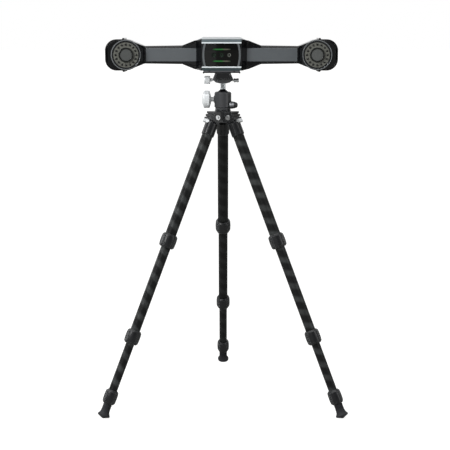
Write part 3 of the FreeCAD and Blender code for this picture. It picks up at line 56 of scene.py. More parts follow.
NODES = frame["nodes"]
JOINTS = {joint["name"]: joint for joint in frame["joints"]}
LEGS = ("rear", "left", "right")
SIDES = {"left": -1, "right": 1}
MM = 0.001
FULL_TURN = 2 * math.pi
FACING_FRONT = Matrix.Rotation(math.radians(90), 4, "X")
FACING_BACK = Matrix.Rotation(math.radians(-90), 4, "X")

# Places of the finishes, in millimetres: on the bar from its middle, and round each lens from its axis
BAND_START = 29.7
BAND_REACH = 52.0
BAND_DEPTH = 29.0
CHEEK_START = 46.2
FRAME_BAR_START = 26.5
BOARD_RIM = 29.0
LIP_RADIUS = 33.4
BEYOND = 400.0


def linear(code):
    """A colour written as sRGB hex, as the linear values that shaders take."""
    parts = [int(code[i:i + 2], 16) / 255 for i in (1, 3, 5)]
    return tuple(p / 12.92 if p <= 0.04045 else ((p + 0.055) / 1.055) ** 2.4 for p in parts) + (1.0,)


def shade(colour, factor):
    """A lighter or darker version of a colour."""
    return tuple(part * factor for part in colour[:3]) + (1.0,)


def colour_prop(name, description, code):
    return FloatVectorProperty(name=name, description=description, subtype="COLOR", size=4, min=0.0,
                               max=1.0, default=linear(code))


def length_prop(name, description, millimetres):
    return FloatProperty(name=name, description=description, unit="LENGTH", subtype="DISTANCE", min=0.0,
                         default=millimetres * MM)


class TrackerColours(bpy.types.PropertyGroup):
    """Colours of the object's finishes."""

    anodised: colour_prop("Black anodising", "Castings and locks", "#131416")
    # Black anodising painted lighter for the ball housing and clamp: painted light
    anodised_painted_lighter: colour_prop("Dark grey anodising", "Ball housing and clamp", "#38393b")
    bright: colour_prop("Bright anodising", "Knobs and other bright parts", "#e6e9eb")
    # Near-white of the frame's bars: a painted reflection
    frame: colour_prop("Window frame", "Bright bars over and under the window", "#dfe7ea")
    lip: colour_prop("Bright cut", "Lips of the rings round the cameras", "#c4c9cc")
    carbon: colour_prop("Carbon", "Resin-rich parts of the leg tubes", "#0f1010")
    # Colour of the painted sheen on the fibre bands
    carbon_sheen: colour_prop("Carbon sheen", "Fibre bands that catch the light", "#343636")
    rubber: colour_prop("Rubber", "Feet", "#222326")
    shell: colour_prop("Housing", "Painted housing of the bar", "#15181a")
    bevel: colour_prop("Bevel trim", "Slanted bands over and under the window", "#3f4c50")
    panel: colour_prop("Arm panels", "Satin panels in the arms", "#505457")
    # Pale top of the covers: partly their own colour, partly painted light from above
    cover: colour_prop("Covers", "Covers over and under the middle", "#b9bcbe")
    window: colour_prop("Window", "Tinted window", "#050605")
    status: colour_prop("Status lights", "Lit part of the two light bars", "#1c5a26")
    board: colour_prop("Ring boards", "Solder mask of the ring lights", "#5b5c56")
    filter: colour_prop("Lens filters", "Coated glass before the cameras", "#4a4c4b")
    floor: colour_prop("Floor", "Studio floor", "#8e8e8c")


class TrackerSizes(bpy.types.PropertyGroup):
    """Sizes of the small detail that the frame doesn't hold."""

    lens_reach: length_prop("Lens reach", "From the bar's middle to each lens", 226.0)
    toe_in: FloatProperty(name="Toe-in", description="Turn of each camera towards the middle",
                          subtype="ANGLE", default=math.radians(5.0))
    sensor_pitch: length_prop("Sensor pitch", "Between neighbours of the three sensors in the window", 17.7)
    ring_depth: length_prop("Ring depth", "From each lens's turning point to its rings", 42.0)
    board_face: length_prop("Board face", "From each lens's turning point to its ring board's front", 43.2)
    lamp_circle: length_prop("Lamp circle", "Radius of the ring of lamps", 24.0)
    lamp_radius: length_prop("Lamp radius", "Radius of one lamp's dome", 2.5)
    lamp_count: IntProperty(name="Lamps", description="Lamps in each ring", default=16, min=1)
    weave_pitch: length_prop("Fibre pitch", "Rise of the carbon's winding in one turn", 32.5)
    camera_distance: length_prop("Camera distance", "From the tripod's axis", 2775.0)
    camera_height: length_prop("Camera height", "Above the floor", 887.0)
    camera_drop: FloatProperty(name="Camera drop", description="Downward tilt", subtype="ANGLE",
                               default=math.radians(9.34))
    lens: FloatProperty(name="Lens", description="Focal length in millimetres on a 36 mm sensor",
                        default=93.18)


def colours():
    return bpy.context.scene.tracker_colours


def sizes():
    return bpy.context.scene.tracker_sizes


def add(tree, kind, inputs=(), out=0, **settings):
    """Add a shader node with its settings, values and links, and give one of its outputs."""
    node = tree.nodes.new("ShaderNode" + kind)
    for name, value in settings.items():
        setattr(node, name, value)
    for name, value in dict(inputs).items():
        if isinstance(value, bpy.types.NodeSocket):
            tree.links.new(value, node.inputs[name])
        else:
            node.inputs[name].default_value = value
    return node.outputs[out] if node.outputs else None


def start(name):
    """A material with no nodes but the place on the object: the material, its tree and that place."""
    material = bpy.data.materials.new(name)
    material.use_nodes = True
    material.node_tree.nodes.clear()
    return material, material.node_tree, add(material.node_tree, "TexCoord", out="Object")


def cover(material, inputs):
    """Give a material its shader, with these values and links."""
    tree = material.node_tree
    add(tree, "OutputMaterial", {"Surface": add(tree, "BsdfPrincipled", inputs)})
    return material


def mottled(tree, place, colour, spread, size):
    """Slightly uneven colour, as paint and oxide have, in patches of this many millimetres."""
    patches = add(tree, "TexNoise", {"Vector": place, "Scale": 1 / (size * MM), "Detail": 4.0,
                                     "Roughness": 0.6})
    return add(tree, "Mix", {0: patches, 6: shade(colour, 1 - spread), 7: shade(colour, 1 + spread)}, 2,
               data_type="RGBA")


def grained(tree, place, size, height, smooth, rough, edge=0.0):
    """Fine grain of this size and height in millimetres, as roughness between two values and as bumps, over
    edges that are eased by this many millimetres."""
    grains = add(tree, "TexNoise", {"Vector": place, "Scale": 1 / (size * MM), "Detail": 3.0,
                                    "Roughness": 0.7})
    spread = add(tree, "MapRange", {"Value": grains, "From Min": 0.3, "From Max": 0.7, "To Min": smooth,
                                    "To Max": rough})
    bump = {"Height": grains, "Strength": 0.35, "Distance": height * MM}
    if edge:
        bump["Normal"] = add(tree, "Bevel", {"Radius": edge * MM}, samples=6)
    return {"Roughness": spread, "Normal": add(tree, "Bump", bump)}


def edge_wear_and_highlight(tree, colour, bare, amount=0.35, width=0.8):
    """A finish paled towards the bare colour along its edges, this many millimetres to each side: a painted
    edge highlight, and on screws wear as well.
    """
    rounded = add(tree, "Bevel", {"Radius": width * MM}, samples=4)
    flat = add(tree, "NewGeometry", out="Normal")
    along = add(tree, "VectorMath", {0: rounded, 1: flat}, "Value", operation="DOT_PRODUCT")
    # Mask of the painted edge highlight, which on screws also stands for wear
    painted_highlight_and_wear = add(tree, "MapRange", {"Value": along, "From Min": 0.99, "From Max": 0.85, "To Max": amount})
    return add(tree, "Mix", {0: painted_highlight_and_wear, 6: colour, 7: bare}, 2, data_type="RGBA")


def anodised_black(name, colour):
    """Bead-blasted, black-anodised aluminium: a soft grey sheen on a dark oxide, with a painted highlight
    along its edges.
    """
    material, tree, place = start(name)
    # Edges paled to #8b8e91 are a painted highlight
    tone = edge_wear_and_highlight(tree, mottled(tree, place, colour, 0.12, 9.0), linear("#8b8e91"), 0.6)
    return cover(material, {"Base Color": tone, **grained(tree, place, 1.2, 0.03, 0.28, 0.38, 1.0)})


def turned_aluminium(name, centre, turn, roughness):
    """Turned, clear-anodised aluminium: bright, with tool rings about its axis, drawn 6 mm apart to show."""
    material, tree, place = start(name)
    local = add(tree, "Mapping", {"Vector": place, "Location": centre, "Rotation": turn},
                vector_type="TEXTURE")
    rings = add(tree, "TexWave", {"Vector": local, "Scale": 1 / (20 * MM), "Distortion": 0.2,
                                  "Detail": 1.0}, wave_type="RINGS", rings_direction="Z")
    tone = add(tree, "Mix", {0: rings, 6: shade(colours().bright, 0.97), 7: colours().bright}, 2,
               data_type="RGBA")
    spread = add(tree, "MapRange", {"Value": rings, "To Min": roughness * 0.9, "To Max": roughness * 1.15})
    bumps = add(tree, "Bump", {"Height": rings, "Strength": 0.1, "Distance": 0.02 * MM})
    return cover(material, {"Base Color": tone, "Metallic": 0.3, "Roughness": spread, "Normal": bumps})


def brushed_aluminium(name, colour, rough=0.3):
    """Brushed metal: fine scratches from side to side, drawn 0.8 mm wide to show."""
    material, tree, place = start(name)
    stretched = add(tree, "Mapping", {"Vector": place, "Scale": (0.05, 1.0, 1.0)})
    scratches = add(tree, "TexNoise", {"Vector": stretched, "Scale": 1 / (0.8 * MM), "Detail": 3.0})
    tone = add(tree, "Mix", {0: scratches, 6: shade(colour, 0.86), 7: colour}, 2, data_type="RGBA")
    spread = add(tree, "MapRange", {"Value": scratches, "From Min": 0.2, "From Max": 0.8,
                                    "To Min": rough * 0.8, "To Max": rough * 1.25})
    return cover(material, {"Base Color": tone, "Metallic": 1.0, "Roughness": spread})


def leg_frame(leg):
    """A leg's pivot and its own directions there: X across the spider's fork, Z down along the tubes."""
    down = Vector(JOINTS[f"{leg}_section_2_slide"]["axis"]).normalized()
    sideways = Vector(JOINTS[f"{leg}_leg_fold"]["axis"]).normalized()
    outward = sideways.cross(down).normalized()
    turn = Matrix((outward, down.cross(outward), down)).transposed()
    return Vector(JOINTS[f"{leg}_leg_fold"]["pos_m"]), turn


def carbon_tube(leg, sheen):
    """Roll-wrapped carbon laminate under clear resin: a painted sheen in bands, once a turn, where the fibre
    would catch the light, weaker on the rear leg's tubes than on the others, and a finer twill, drawn 5 mm
    wide to show, runs across them."""
    material, tree, place = start(f"carbon_laminate_{leg}")
    pivot, turn = leg_frame(leg)
    local = add(tree, "Mapping", {"Vector": place, "Location": pivot, "Rotation": turn.to_euler()},
                vector_type="TEXTURE")
    along = add(tree, "SeparateXYZ", {0: local}, "Z")
    split = along.node.outputs
    angle = add(tree, "Math", {0: split["Y"], 1: split["X"]}, operation="ARCTAN2")
    wound = add(tree, "Math", {0: along, 1: FULL_TURN / sizes().weave_pitch, 2: angle},
                operation="MULTIPLY_ADD")
    band = add(tree, "MapRange", {"Value": add(tree, "Math", {0: wound}, operation="SINE"),
                                  "From Min": -0.5},
               interpolation_type="SMOOTHSTEP")
    patches = add(tree, "TexNoise", {"Vector": local, "Scale": 1 / (14 * MM), "Detail": 2.0})
    uneven = add(tree, "MapRange", {"Value": patches, "From Min": 0.3, "From Max": 0.7,
                                    "To Min": 0.5 * sheen, "To Max": 1.1 * sheen})
    fine = add(tree, "Math", {0: along, 1: FULL_TURN / (5 * MM)}, operation="MULTIPLY")
    waves = []
    for lean in (14.0, -14.0):
        lane = add(tree, "Math", {0: angle, 1: lean, 2: fine}, operation="MULTIPLY_ADD")
        waves.append(add(tree, "Math", {0: lane}, operation="SINE"))
    crossed = add(tree, "Math", {0: waves[0], 1: waves[1]}, operation="MULTIPLY")
    twill = add(tree, "MapRange", {"Value": crossed, "From Min": -1.0, "To Min": 0.78, "To Max": 1.1})
    # The bands lighten the base colour as a painted sheen
    amount = add(tree, "Math", {0: add(tree, "Math", {0: band, 1: uneven}, operation="MULTIPLY"), 1: twill},
                 operation="MULTIPLY")
    tone = add(tree, "Mix", {0: amount, 6: colours().carbon, 7: colours().carbon_sheen}, 2,
               data_type="RGBA")
    smooth = add(tree, "MapRange", {"Value": amount, "To Min": 0.5, "To Max": 0.42})
    bumps = add(tree, "Bump", {"Height": twill, "Strength": 0.12, "Distance": 0.1 * MM})
    return cover(material, {"Base Color": tone, "Roughness": smooth, "Normal": bumps,
                            "Specular IOR Level": 0.25})


def moulded_rubber():
    """Moulded rubber: matt, dusty and a little blotchy."""
    material, tree, place = start("moulded_rubber")
    tone = mottled(tree, place, colours().rubber, 0.2, 6.0)
    return cover(material, {"Base Color": tone, "Specular IOR Level": 0.35,
                            **grained(tree, place, 1.5, 0.05, 0.55, 0.72)})


def bar_centre():
    """The bar's middle at the height of the lenses, on the parting plane of its housing."""
    low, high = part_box("front_shell")
    return Vector(((low.x + high.x) / 2, high.y, (low.z + high.z) / 2))


def on_bar(tree, place):
    """Place on the bar, from its middle: the outputs X, Y and Z."""
    moved = add(tree, "Mapping", {"Vector": place, "Location": bar_centre()}, vector_type="TEXTURE")
    return add(tree, "SeparateXYZ", {0: moved}).node.outputs


def between(tree, value, low, high, soft=0.4):
    """1 where a distance lies between two others in millimetres, with soft ends."""
    rise = add(tree, "MapRange", {"Value": value, "From Min": (low - soft) * MM, "From Max": low * MM})
    fall = add(tree, "MapRange", {"Value": value, "From Min": high * MM, "From Max": (high + soft) * MM,
                                  "To Min": 1.0, "To Max": 0.0})
    return add(tree, "Math", {0: rise, 1: fall}, operation="MULTIPLY")


def painted_shell():
    """Powder-painted housing: a fine texture with metal-coloured bands over and under the window, and
    polished cheeks, arms and heads."""
    material, tree, place = start("painted_housing")
    spot = on_bar(tree, place)
    across = add(tree, "Math", {0: spot["X"]}, operation="ABSOLUTE")
    up = add(tree, "Math", {0: spot["Z"]}, operation="ABSOLUTE")
    body = mottled(tree, place, colours().shell, 0.18, 7.0)
    band = add(tree, "Math", {0: between(tree, up, BAND_START, BEYOND),
                              1: between(tree, across, -1.0, BAND_REACH, 5.0)}, operation="MULTIPLY")
    front = add(tree, "MapRange", {"Value": spot["Y"], "From Min": -(BAND_DEPTH + 1) * MM,
                                   "From Max": -BAND_DEPTH * MM, "To Min": 1.0, "To Max": 0.0})
    band = add(tree, "Math", {0: band, 1: front}, operation="MULTIPLY")
    trimmed = add(tree, "Mix", {0: band, 6: body, 7: colours().bevel}, 2, data_type="RGBA")
    gloss = between(tree, across, CHEEK_START, BEYOND)
    tone = add(tree, "Mix", {0: gloss, 6: trimmed, 7: linear("#060709")}, 2, data_type="RGBA")
    fine = grained(tree, place, 1.0, 0.03, 0.3, 0.42, 2.0)
    fine["Roughness"] = add(tree, "Math", {0: gloss, 1: -0.24, 2: fine["Roughness"]},
                            operation="MULTIPLY_ADD")
    return cover(material, {"Base Color": tone, "Specular IOR Level": 0.45, **fine})


def window_frame():
    """Satin-anodised frame: bars over and under the window painted bright as a reflection of their polished
    faces, joined by greyer bows.
    """
    material, tree, place = start("satin_anodised_frame")
    up = add(tree, "Math", {0: on_bar(tree, place)["Z"]}, operation="ABSOLUTE")
    # The bars' near-white is a painted reflection; the bows stay grey
    tone = add(tree, "Mix", {0: between(tree, up, FRAME_BAR_START, BEYOND, 0.1), 6: linear("#5f6365"),
                             7: colours().frame}, 2, data_type="RGBA")
    return cover(material, {"Base Color": tone, "Metallic": 0.2,
                            **grained(tree, place, 1.0, 0.01, 0.3, 0.4)})


def satin_panel():
    """Moulded plastic panel with a spark-eroded texture and a satin paint."""
    material, tree, place = start("satin_painted_abs")
    tone = mottled(tree, place, colours().panel, 0.06, 12.0)
    return cover(material, {"Base Color": tone, **grained(tree, place, 0.9, 0.03, 0.38, 0.5)})


def cover_lit_above_shaded_below():
    """Moulded covers with a smooth satin paint: pale on top, partly their own colour and partly painted light
    from above, and dark grey underneath as painted shade.
    """
    material, tree, place = start("satin_painted_cover")
    upper = add(tree, "MapRange", {"Value": on_bar(tree, place)["Z"], "From Max": 1 * MM})
    pale = mottled(tree, place, colours().cover, 0.03, 15.0)
    # Pale top partly painted light, dark grey #4b4c50 underneath painted shade
    tone = add(tree, "Mix", {0: upper, 6: linear("#4b4c50"), 7: pale}, 2, data_type="RGBA")
    return cover(material, {"Base Color": tone, "Coat Weight": 0.1, "Coat Roughness": 0.1,
                            **grained(tree, place, 1.0, 0.02, 0.32, 0.42)})


def tinted_window():
    """Hard-coated tinted acrylic: nearly black, with a clean gloss and faint wipe marks."""
    material, tree, place = start("tinted_acrylic")
    smears = add(tree, "TexNoise", {"Vector": place, "Scale": 1 / (25 * MM), "Detail": 5.0,
                                    "Distortion": 1.0})
    haze = add(tree, "MapRange", {"Value": smears, "From Min": 0.4, "From Max": 0.8, "To Min": 0.01,
                                  "To Max": 0.04})
    return cover(material, {"Base Color": mottled(tree, place, colours().window, 0.3, 18.0),
                            "Roughness": haze, "IOR": 1.49})


def light_guide():
    """Frosted acrylic light guide: green where its lamp sits, paler to the right and dimmer at its ends."""
    material, tree, place = start("frosted_light_guide")
    spot = on_bar(tree, place)
    across = add(tree, "Math", {0: spot["X"]}, operation="ABSOLUTE")
    fade = add(tree, "MapRange", {"Value": spot["X"], "From Max": 8 * MM})
    ends = add(tree, "MapRange", {"Value": across, "From Min": 21 * MM, "From Max": 13 * MM})
    glow = add(tree, "Mix", {0: fade, 6: colours().status, 7: linear("#4a4b40")}, 2, data_type="RGBA")
    tone = add(tree, "Mix", {0: ends, 6: linear("#0d2414"), 7: glow}, 2, data_type="RGBA")
    power = add(tree, "MapRange", {"Value": ends, "To Min": 0.02, "To Max": 0.15})
    grain = grained(tree, place, 1.5, 0.01, 0.25, 0.4)
    return cover(material, {"Base Color": tone, "Emission Color": glow, "Emission Strength": power,
                            **grain})


def lens_radius(tree, place):
    """Distance from the nearer lens's axis, where that passes through the front of the ring lights."""
    spot = on_bar(tree, place)
    reach = sizes().lens_reach - sizes().ring_depth * math.sin(sizes().toe_in)
    beside = add(tree, "Math", {0: add(tree, "Math", {0: spot["X"]}, operation="ABSOLUTE"), 1: reach},
                 operation="SUBTRACT")
    return add(tree, "VectorMath", {0: add(tree, "CombineXYZ", {0: beside, 2: spot["Z"]})}, "Value",
               operation="LENGTH")


def ring_board():
    """Solder mask over copper: matt grey, with uneven patches where tracks run below it and a black rim."""
    material, tree, place = start("solder_mask")
    rim = between(tree, lens_radius(tree, place), BOARD_RIM, BEYOND)
    tone = add(tree, "Mix", {0: rim, 6: mottled(tree, place, colours().board, 0.5, 3.0),
                             7: linear("#0b0c0c")}, 2, data_type="RGBA")
    return cover(material, {"Base Color": tone, **grained(tree, place, 2.2, 0.05, 0.4, 0.6)})


def camera_ring():
    """Turned, dark-anodised aluminium with a bright-cut lip inside."""
    material, tree, place = start("bright_cut_rings")
    lip = between(tree, lens_radius(tree, place), 20.0, LIP_RADIUS, 0.3)
    grain = grained(tree, place, 1.0, 0.01, 0.26, 0.36, 0.6)
    tone = add(tree, "Mix", {0: lip, 6: mottled(tree, place, linear("#3d4042"), 0.15, 2.0),
                             7: colours().lip}, 2, data_type="RGBA")
    return cover(material, {"Base Color": tone, "Metallic": lip, **grain})


def coated_glass():
    """Band-pass filter: polished glass with a grey coating."""
    material, tree, place = start("coated_filter_glass")
    grain = grained(tree, place, 30.0, 0.001, 0.06, 0.12)
    return cover(material, {"Base Color": mottled(tree, place, colours().filter, 0.08, 30.0), "IOR": 1.52,
                            **grain})


def polished_plastic(name, code, edge=0.0):
    """Moulded plastic with a polished surface, a little hazy in places, and edges eased by millimetres."""
    material, tree, place = start(name)
    return cover(material, {"Base Color": mottled(tree, place, linear(code), 0.25, 3.0),
                            **grained(tree, place, 9.0, 0.01, 0.12, 0.22, edge)})


def sensor_barrel():
    """Black lens barrels, with a green-coated ring about two lenses and a pale one about the right."""
    material, tree, place = start("sensor_barrel_abs")
    spot = on_bar(tree, place)
    half = sizes().sensor_pitch / 2
    beside = add(tree, "Math", {0: spot["X"], 1: half, 2: -half}, operation="WRAP")
    flat = add(tree, "CombineXYZ", {0: beside, 2: spot["Z"]})
    radius = add(tree, "VectorMath", {0: flat}, "Value", operation="LENGTH")
    right = add(tree, "MapRange", {"Value": spot["X"], "From Min": 8 * MM, "From Max": 9 * MM})
    bared = add(tree, "Mix", {0: right, 6: linear("#1c3323"), 7: linear("#6f736c")}, 2, data_type="RGBA")
    ring = between(tree, radius, 2.7, 3.7, 0.3)
    tone = add(tree, "Mix", {0: ring, 6: mottled(tree, place, linear("#040505"), 0.5, 2.0), 7: bared}, 2,
               data_type="RGBA")
    return cover(material, {"Base Color": tone, **grained(tree, place, 2.0, 0.01, 0.15, 0.25)})


def circuit_board():
    """Green solder mask over copper tracks, drawn as fields of 6 by 3 mm."""
    material, tree, place = start("circuit_board")
    fields = add(tree, "TexBrick", {"Vector": place, "Scale": 1 / (12 * MM), "Color1": linear("#0d4a22"),
                                    "Color2": linear("#0b3f1d"), "Mortar": linear("#1f6b35")})
    return cover(material, {"Base Color": fields, **grained(tree, place, 2.0, 0.02, 0.3, 0.45)})


def blackened_steel():
    """Machine screws of blackened steel, paled towards bare metal on their edges: wear, and a painted
    highlight as well.
    """
    material, tree, place = start("blackened_steel")
    # Edges paled to #a5a7a9: wear and a painted highlight
    tone = edge_wear_and_highlight(tree, mottled(tree, place, linear("#3c3d3f"), 0.3, 1.5), linear("#a5a7a9"), 0.6)
    return cover(material, {"Base Color": tone, "Metallic": 1.0,
                            **grained(tree, place, 1.0, 0.01, 0.3, 0.42)})


def ball_and_stem():
    """Polished steel stem over a blackened, greased ball."""
    material, tree, place = start("polished_steel")
    height = add(tree, "SeparateXYZ", {0: place}, "Z")
    ball_top = JOINTS["ball_tilt"]["pos_m"][2] + 14.5 * MM
    bare = add(tree, "MapRange", {"Value": height, "From Min": ball_top, "From Max": ball_top + 2 * MM})
    grain = grained(tree, place, 4.0, 0.002, 0.46, 0.5)
    tone = add(tree, "Mix", {0: bare, 6: mottled(tree, place, linear("#2c2d30"), 0.2, 1.0),
                             7: linear("#c4c9cc")}, 2, data_type="RGBA")
    grain["Roughness"] = add(tree, "Math", {0: bare, 1: -0.24, 2: grain["Roughness"]},
                             operation="MULTIPLY_ADD")
    return cover(material, {"Base Color": tone, "Metallic": 1.0, **grain})


def pan_knob_finish():
    """Clear-anodised taper with a black plastic cap on its end."""
    material, tree, place = start("anodised_taper")
    joint = JOINTS["pan_knob_turn"]
    turn = Vector(joint["axis"]).to_track_quat("Z", "Y").to_euler()
    local = add(tree, "Mapping", {"Vector": place, "Location": joint["pos_m"], "Rotation": turn},
                vector_type="TEXTURE")
    depth = add(tree, "SeparateXYZ", {0: local}, "Z")
    cap = add(tree, "MapRange", {"Value": depth, "From Min": 5.6 * MM, "From Max": 6.0 * MM})
    metal = mottled(tree, place, linear("#85878a"), 0.1, 1.2)
    tone = add(tree, "Mix", {0: cap, 6: metal, 7: linear("#1b1c1e")}, 2, data_type="RGBA")
    bare = add(tree, "Math", {0: 1.0, 1: cap}, operation="SUBTRACT")
    return cover(material, {"Base Color": tone, "Metallic": bare,
                            **grained(tree, place, 1.0, 0.02, 0.3, 0.42)})


def wear(material, *names):
    """Give CAD nodes a finish."""
    for name in names:
        slots = NODES[name].data.materials
        slots.clear()
        slots.append(material)


def place_piece(mesh, name, material, body, smooth=35.0):
    """Turn a bmesh into a piece that rides on a body."""
    bmesh.ops.remove_doubles(mesh, verts=mesh.verts, dist=1e-7)
    bmesh.ops.recalc_face_normals(mesh, faces=mesh.faces)
    data = bpy.data.meshes.new(name)
    mesh.to_mesh(data)
    mesh.free()
    data.shade_smooth()
    data.set_sharp_from_angle(angle=math.radians(smooth))
    data.materials.append(material)
    piece = bpy.data.objects.new(name, data)
    bpy.context.scene.collection.objects.link(piece)
    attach(piece, body)
    return piece


def at_lens(side):
    """From a lens's own directions, Z out of the glass, to the object's place."""
    toe = Matrix.Rotation(-side * sizes().toe_in, 4, "Z")
    return Matrix.Translation(bar_centre() + Vector((side * sizes().lens_reach, 0, 0))) @ toe @ FACING_FRONT


def turned(profile, steps):
    """A mesh turned about Z from a profile of (radius, height) points in millimetres."""
    mesh = bmesh.new()
    verts = [mesh.verts.new((radius * MM, 0, height * MM)) for radius, height in profile]
    edges = [mesh.edges.new(pair) for pair in zip(verts, verts[1:])]
    bmesh.ops.spin(mesh, geom=verts + edges, cent=(0, 0, 0), axis=(0, 0, 1), angle=FULL_TURN, steps=steps,
                   use_merge=True)
    return mesh


def repeat_round(mesh, count):
    """Copy everything in a mesh round Z, evenly, until there are this many."""
    bmesh.ops.spin(mesh, geom=mesh.verts[:] + mesh.edges[:] + mesh.faces[:], cent=(0, 0, 0), axis=(0, 0, 1),
                   angle=FULL_TURN * (count - 1) / count, steps=count - 1, use_duplicate=True)


class TRACKER_OT_finish_castings(bpy.types.Operator):
    """Anodise the castings, locks and clamp"""

    bl_idname = "tracker.finish_castings"
    bl_label = "Finish Castings"

    def execute(self, context):
        black = anodised_black("anodised_black", colours().anodised)
        # The ball housing and clamp get the black anodising painted lighter, as painted light
        grey = anodised_black("anodised_black_painted_lighter", colours().anodised_painted_lighter)
        for leg in LEGS:
            wear(black, *(f"{leg}_leg_{part}" for part in ("shoulder", "lock_1", "lock_2", "lock_3")))
        wear(black, "spider", "pan_base", "qr_plate", "mount_plate", "camera_modules")
        wear(grey, "ball_housing", "clamp_base", "clamp_jaw")
        return {"FINISHED"}


class TRACKER_OT_finish_bright_parts(bpy.types.Operator):
    """Finish the bright knobs, rings, stops and screws"""

    bl_idname = "tracker.finish_bright_parts"
    bl_label = "Finish Bright Parts"

    def execute(self, context):
        sideways = (0.0, math.radians(90), 0.0)
        for node, joint in (("main_lock_knob", "main_knob_turn"), ("clamp_knob", "clamp_knob_turn")):
            wear(turned_aluminium(f"turned_{node}", JOINTS[joint]["pos_m"], sideways, 0.3), node)
        sockets = sum(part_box("connectors"), Vector()) / 2
        wear(turned_aluminium("turned_sockets", sockets, (math.radians(90), 0.0, 0.0), 0.3), "connectors")
        bright = brushed_aluminium("brushed_aluminium", colours().bright)
        wear(window_frame(), "window_bezel")
        wear(bright, "spine_beam", "clamp_lock_knob", *(f"{leg}_leg_angle_stop" for leg in LEGS))
        wear(camera_ring(), "bezel_rings")
        wear(brushed_aluminium("plated_steel", linear("#c2c4c5"), 0.32), "spider_fasteners")
        wear(ball_and_stem(), "ball_stem")
        wear(pan_knob_finish(), "pan_lock_knob")
        wear(blackened_steel(), "screws")
        return {"FINISHED"}


class TRACKER_OT_finish_legs(bpy.types.Operator):
    """Wrap the leg tubes in carbon and give them rubber feet"""

    bl_idname = "tracker.finish_legs"
    bl_label = "Finish Legs"

    def execute(self, context):
        rubber = moulded_rubber()
        for leg in LEGS:
            # The rear leg's tubes get a weaker painted sheen than the others
            wear(carbon_tube(leg, 0.35 if leg == "rear" else 1.0),
                 *(f"{leg}_leg_tube_{number}" for number in range(1, 5)))
            wear(rubber, f"{leg}_leg_foot")
        return {"FINISHED"}


class TRACKER_OT_finish_bar(bpy.types.Operator):
    """Paint the bar's housings and glaze its window and lenses"""

    bl_idname = "tracker.finish_bar"
    bl_label = "Finish Tracker Bar"

    def execute(self, context):
        wear(painted_shell(), "front_shell", "rear_shell")
        wear(polished_plastic("polished_end_caps", "#050506", 4.5), "end_caps")
        wear(satin_panel(), "arm_panels")
        wear(cover_lit_above_shaded_below(), "centre_covers")
        wear(tinted_window(), "display_window")
        wear(light_guide(), "status_light_bars")
        wear(ring_board(), "ring_light_boards")
        wear(coated_glass(), "lens_filters")
        wear(sensor_barrel(), "sensor_barrels")
        wear(circuit_board(), "main_board")
        return {"FINISHED"}


class TRACKER_OT_ring_lamps(bpy.types.Operator):
    """Set a ring of dark-domed lamps round each camera"""

    bl_idname = "tracker.ring_lamps"
    bl_label = "Ring Lamps"

    def execute(self, context):
        material = polished_plastic("lamp_domes", "#030303")
        radius = sizes().lamp_radius / MM
        face = sizes().board_face / MM
        profile = [(0, face + radius * 0.7), (radius * 0.5, face + radius * 0.6),
                   (radius * 0.87, face + radius * 0.35), (radius, face), (radius * 1.05, face - 0.3),
                   (0, face - 0.3)]
        for name, side in SIDES.items():
            mesh = turned(profile, 16)
            bmesh.ops.translate(mesh, vec=(sizes().lamp_circle, 0, 0), verts=mesh.verts)
            repeat_round(mesh, sizes().lamp_count)
            bmesh.ops.transform(mesh, matrix=at_lens(side), verts=mesh.verts)
            place_piece(mesh, f"{name}_ring_lamps", material, "tracker")
        return {"FINISHED"}


class TRACKER_OT_lens_trim(bpy.types.Operator):
    """Put a dark retaining ring round each filter and a rubber seal at each board's edge"""

    bl_idname = "tracker.lens_trim"
    bl_label = "Lens Trim"

    def execute(self, context):
        dark = polished_plastic("retaining_rings", "#101211")
        seal = moulded_rubber()
        for name, side in SIDES.items():
            mesh = turned([(13.6, 45.9), (13.6, 46.6), (14.4, 47.0), (16.6, 47.0), (17.2, 46.6),
                           (17.2, 45.9), (13.6, 45.9)], 72)
            bmesh.ops.transform(mesh, matrix=at_lens(side), verts=mesh.verts)
            place_piece(mesh, f"{name}_retaining_ring", dark, "tracker")
            mesh = turned([(29.6, 42.0), (29.6, 43.0), (29.9, 43.3), (30.6, 43.3), (30.9, 43.0),
                           (30.9, 42.0), (29.6, 42.0)], 96)
            bmesh.ops.transform(mesh, matrix=at_lens(side), verts=mesh.verts)
            place_piece(mesh, f"{name}_board_seal", seal, "tracker")
        return {"FINISHED"}


class TRACKER_OT_socket_inserts(bpy.types.Operator):
    """Put an insulator with contact pins in each rear socket"""

    bl_idname = "tracker.socket_inserts"
    bl_label = "Socket Inserts"

    def execute(self, context):
        low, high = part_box("connectors")
        flange, depth = 10.0 * MM, 9.0 * MM
        insulator = polished_plastic("socket_insulator", "#0d0e0f")
        contact = turned_aluminium("gilded_pins", (0.0, 0.0, 0.0), (math.radians(90), 0.0, 0.0), 0.3)
        for name, x, pins in (("data", low.x + flange, 7), ("power", high.x - flange, 4)):
            out = Matrix.Translation((x, high.y - depth, (low.z + high.z) / 2)) @ FACING_BACK
            mesh = turned([(0, 2.2), (4.4, 2.2), (4.7, 1.9), (4.7, 0.1), (0, 0.1)], 48)
            bmesh.ops.transform(mesh, matrix=out, verts=mesh.verts)
            place_piece(mesh, f"{name}_socket_insulator", insulator, "tracker")
            mesh = turned([(0, 6.0), (0.3, 5.8), (0.5, 5.3), (0.5, 2.0), (0, 2.0)], 12)
            bmesh.ops.translate(mesh, vec=(3.1 * MM, 0, 0), verts=mesh.verts)
            repeat_round(mesh, pins)
            bmesh.ops.transform(mesh, matrix=out, verts=mesh.verts)
            place_piece(mesh, f"{name}_socket_pins", contact, "tracker")
        return {"FINISHED"}


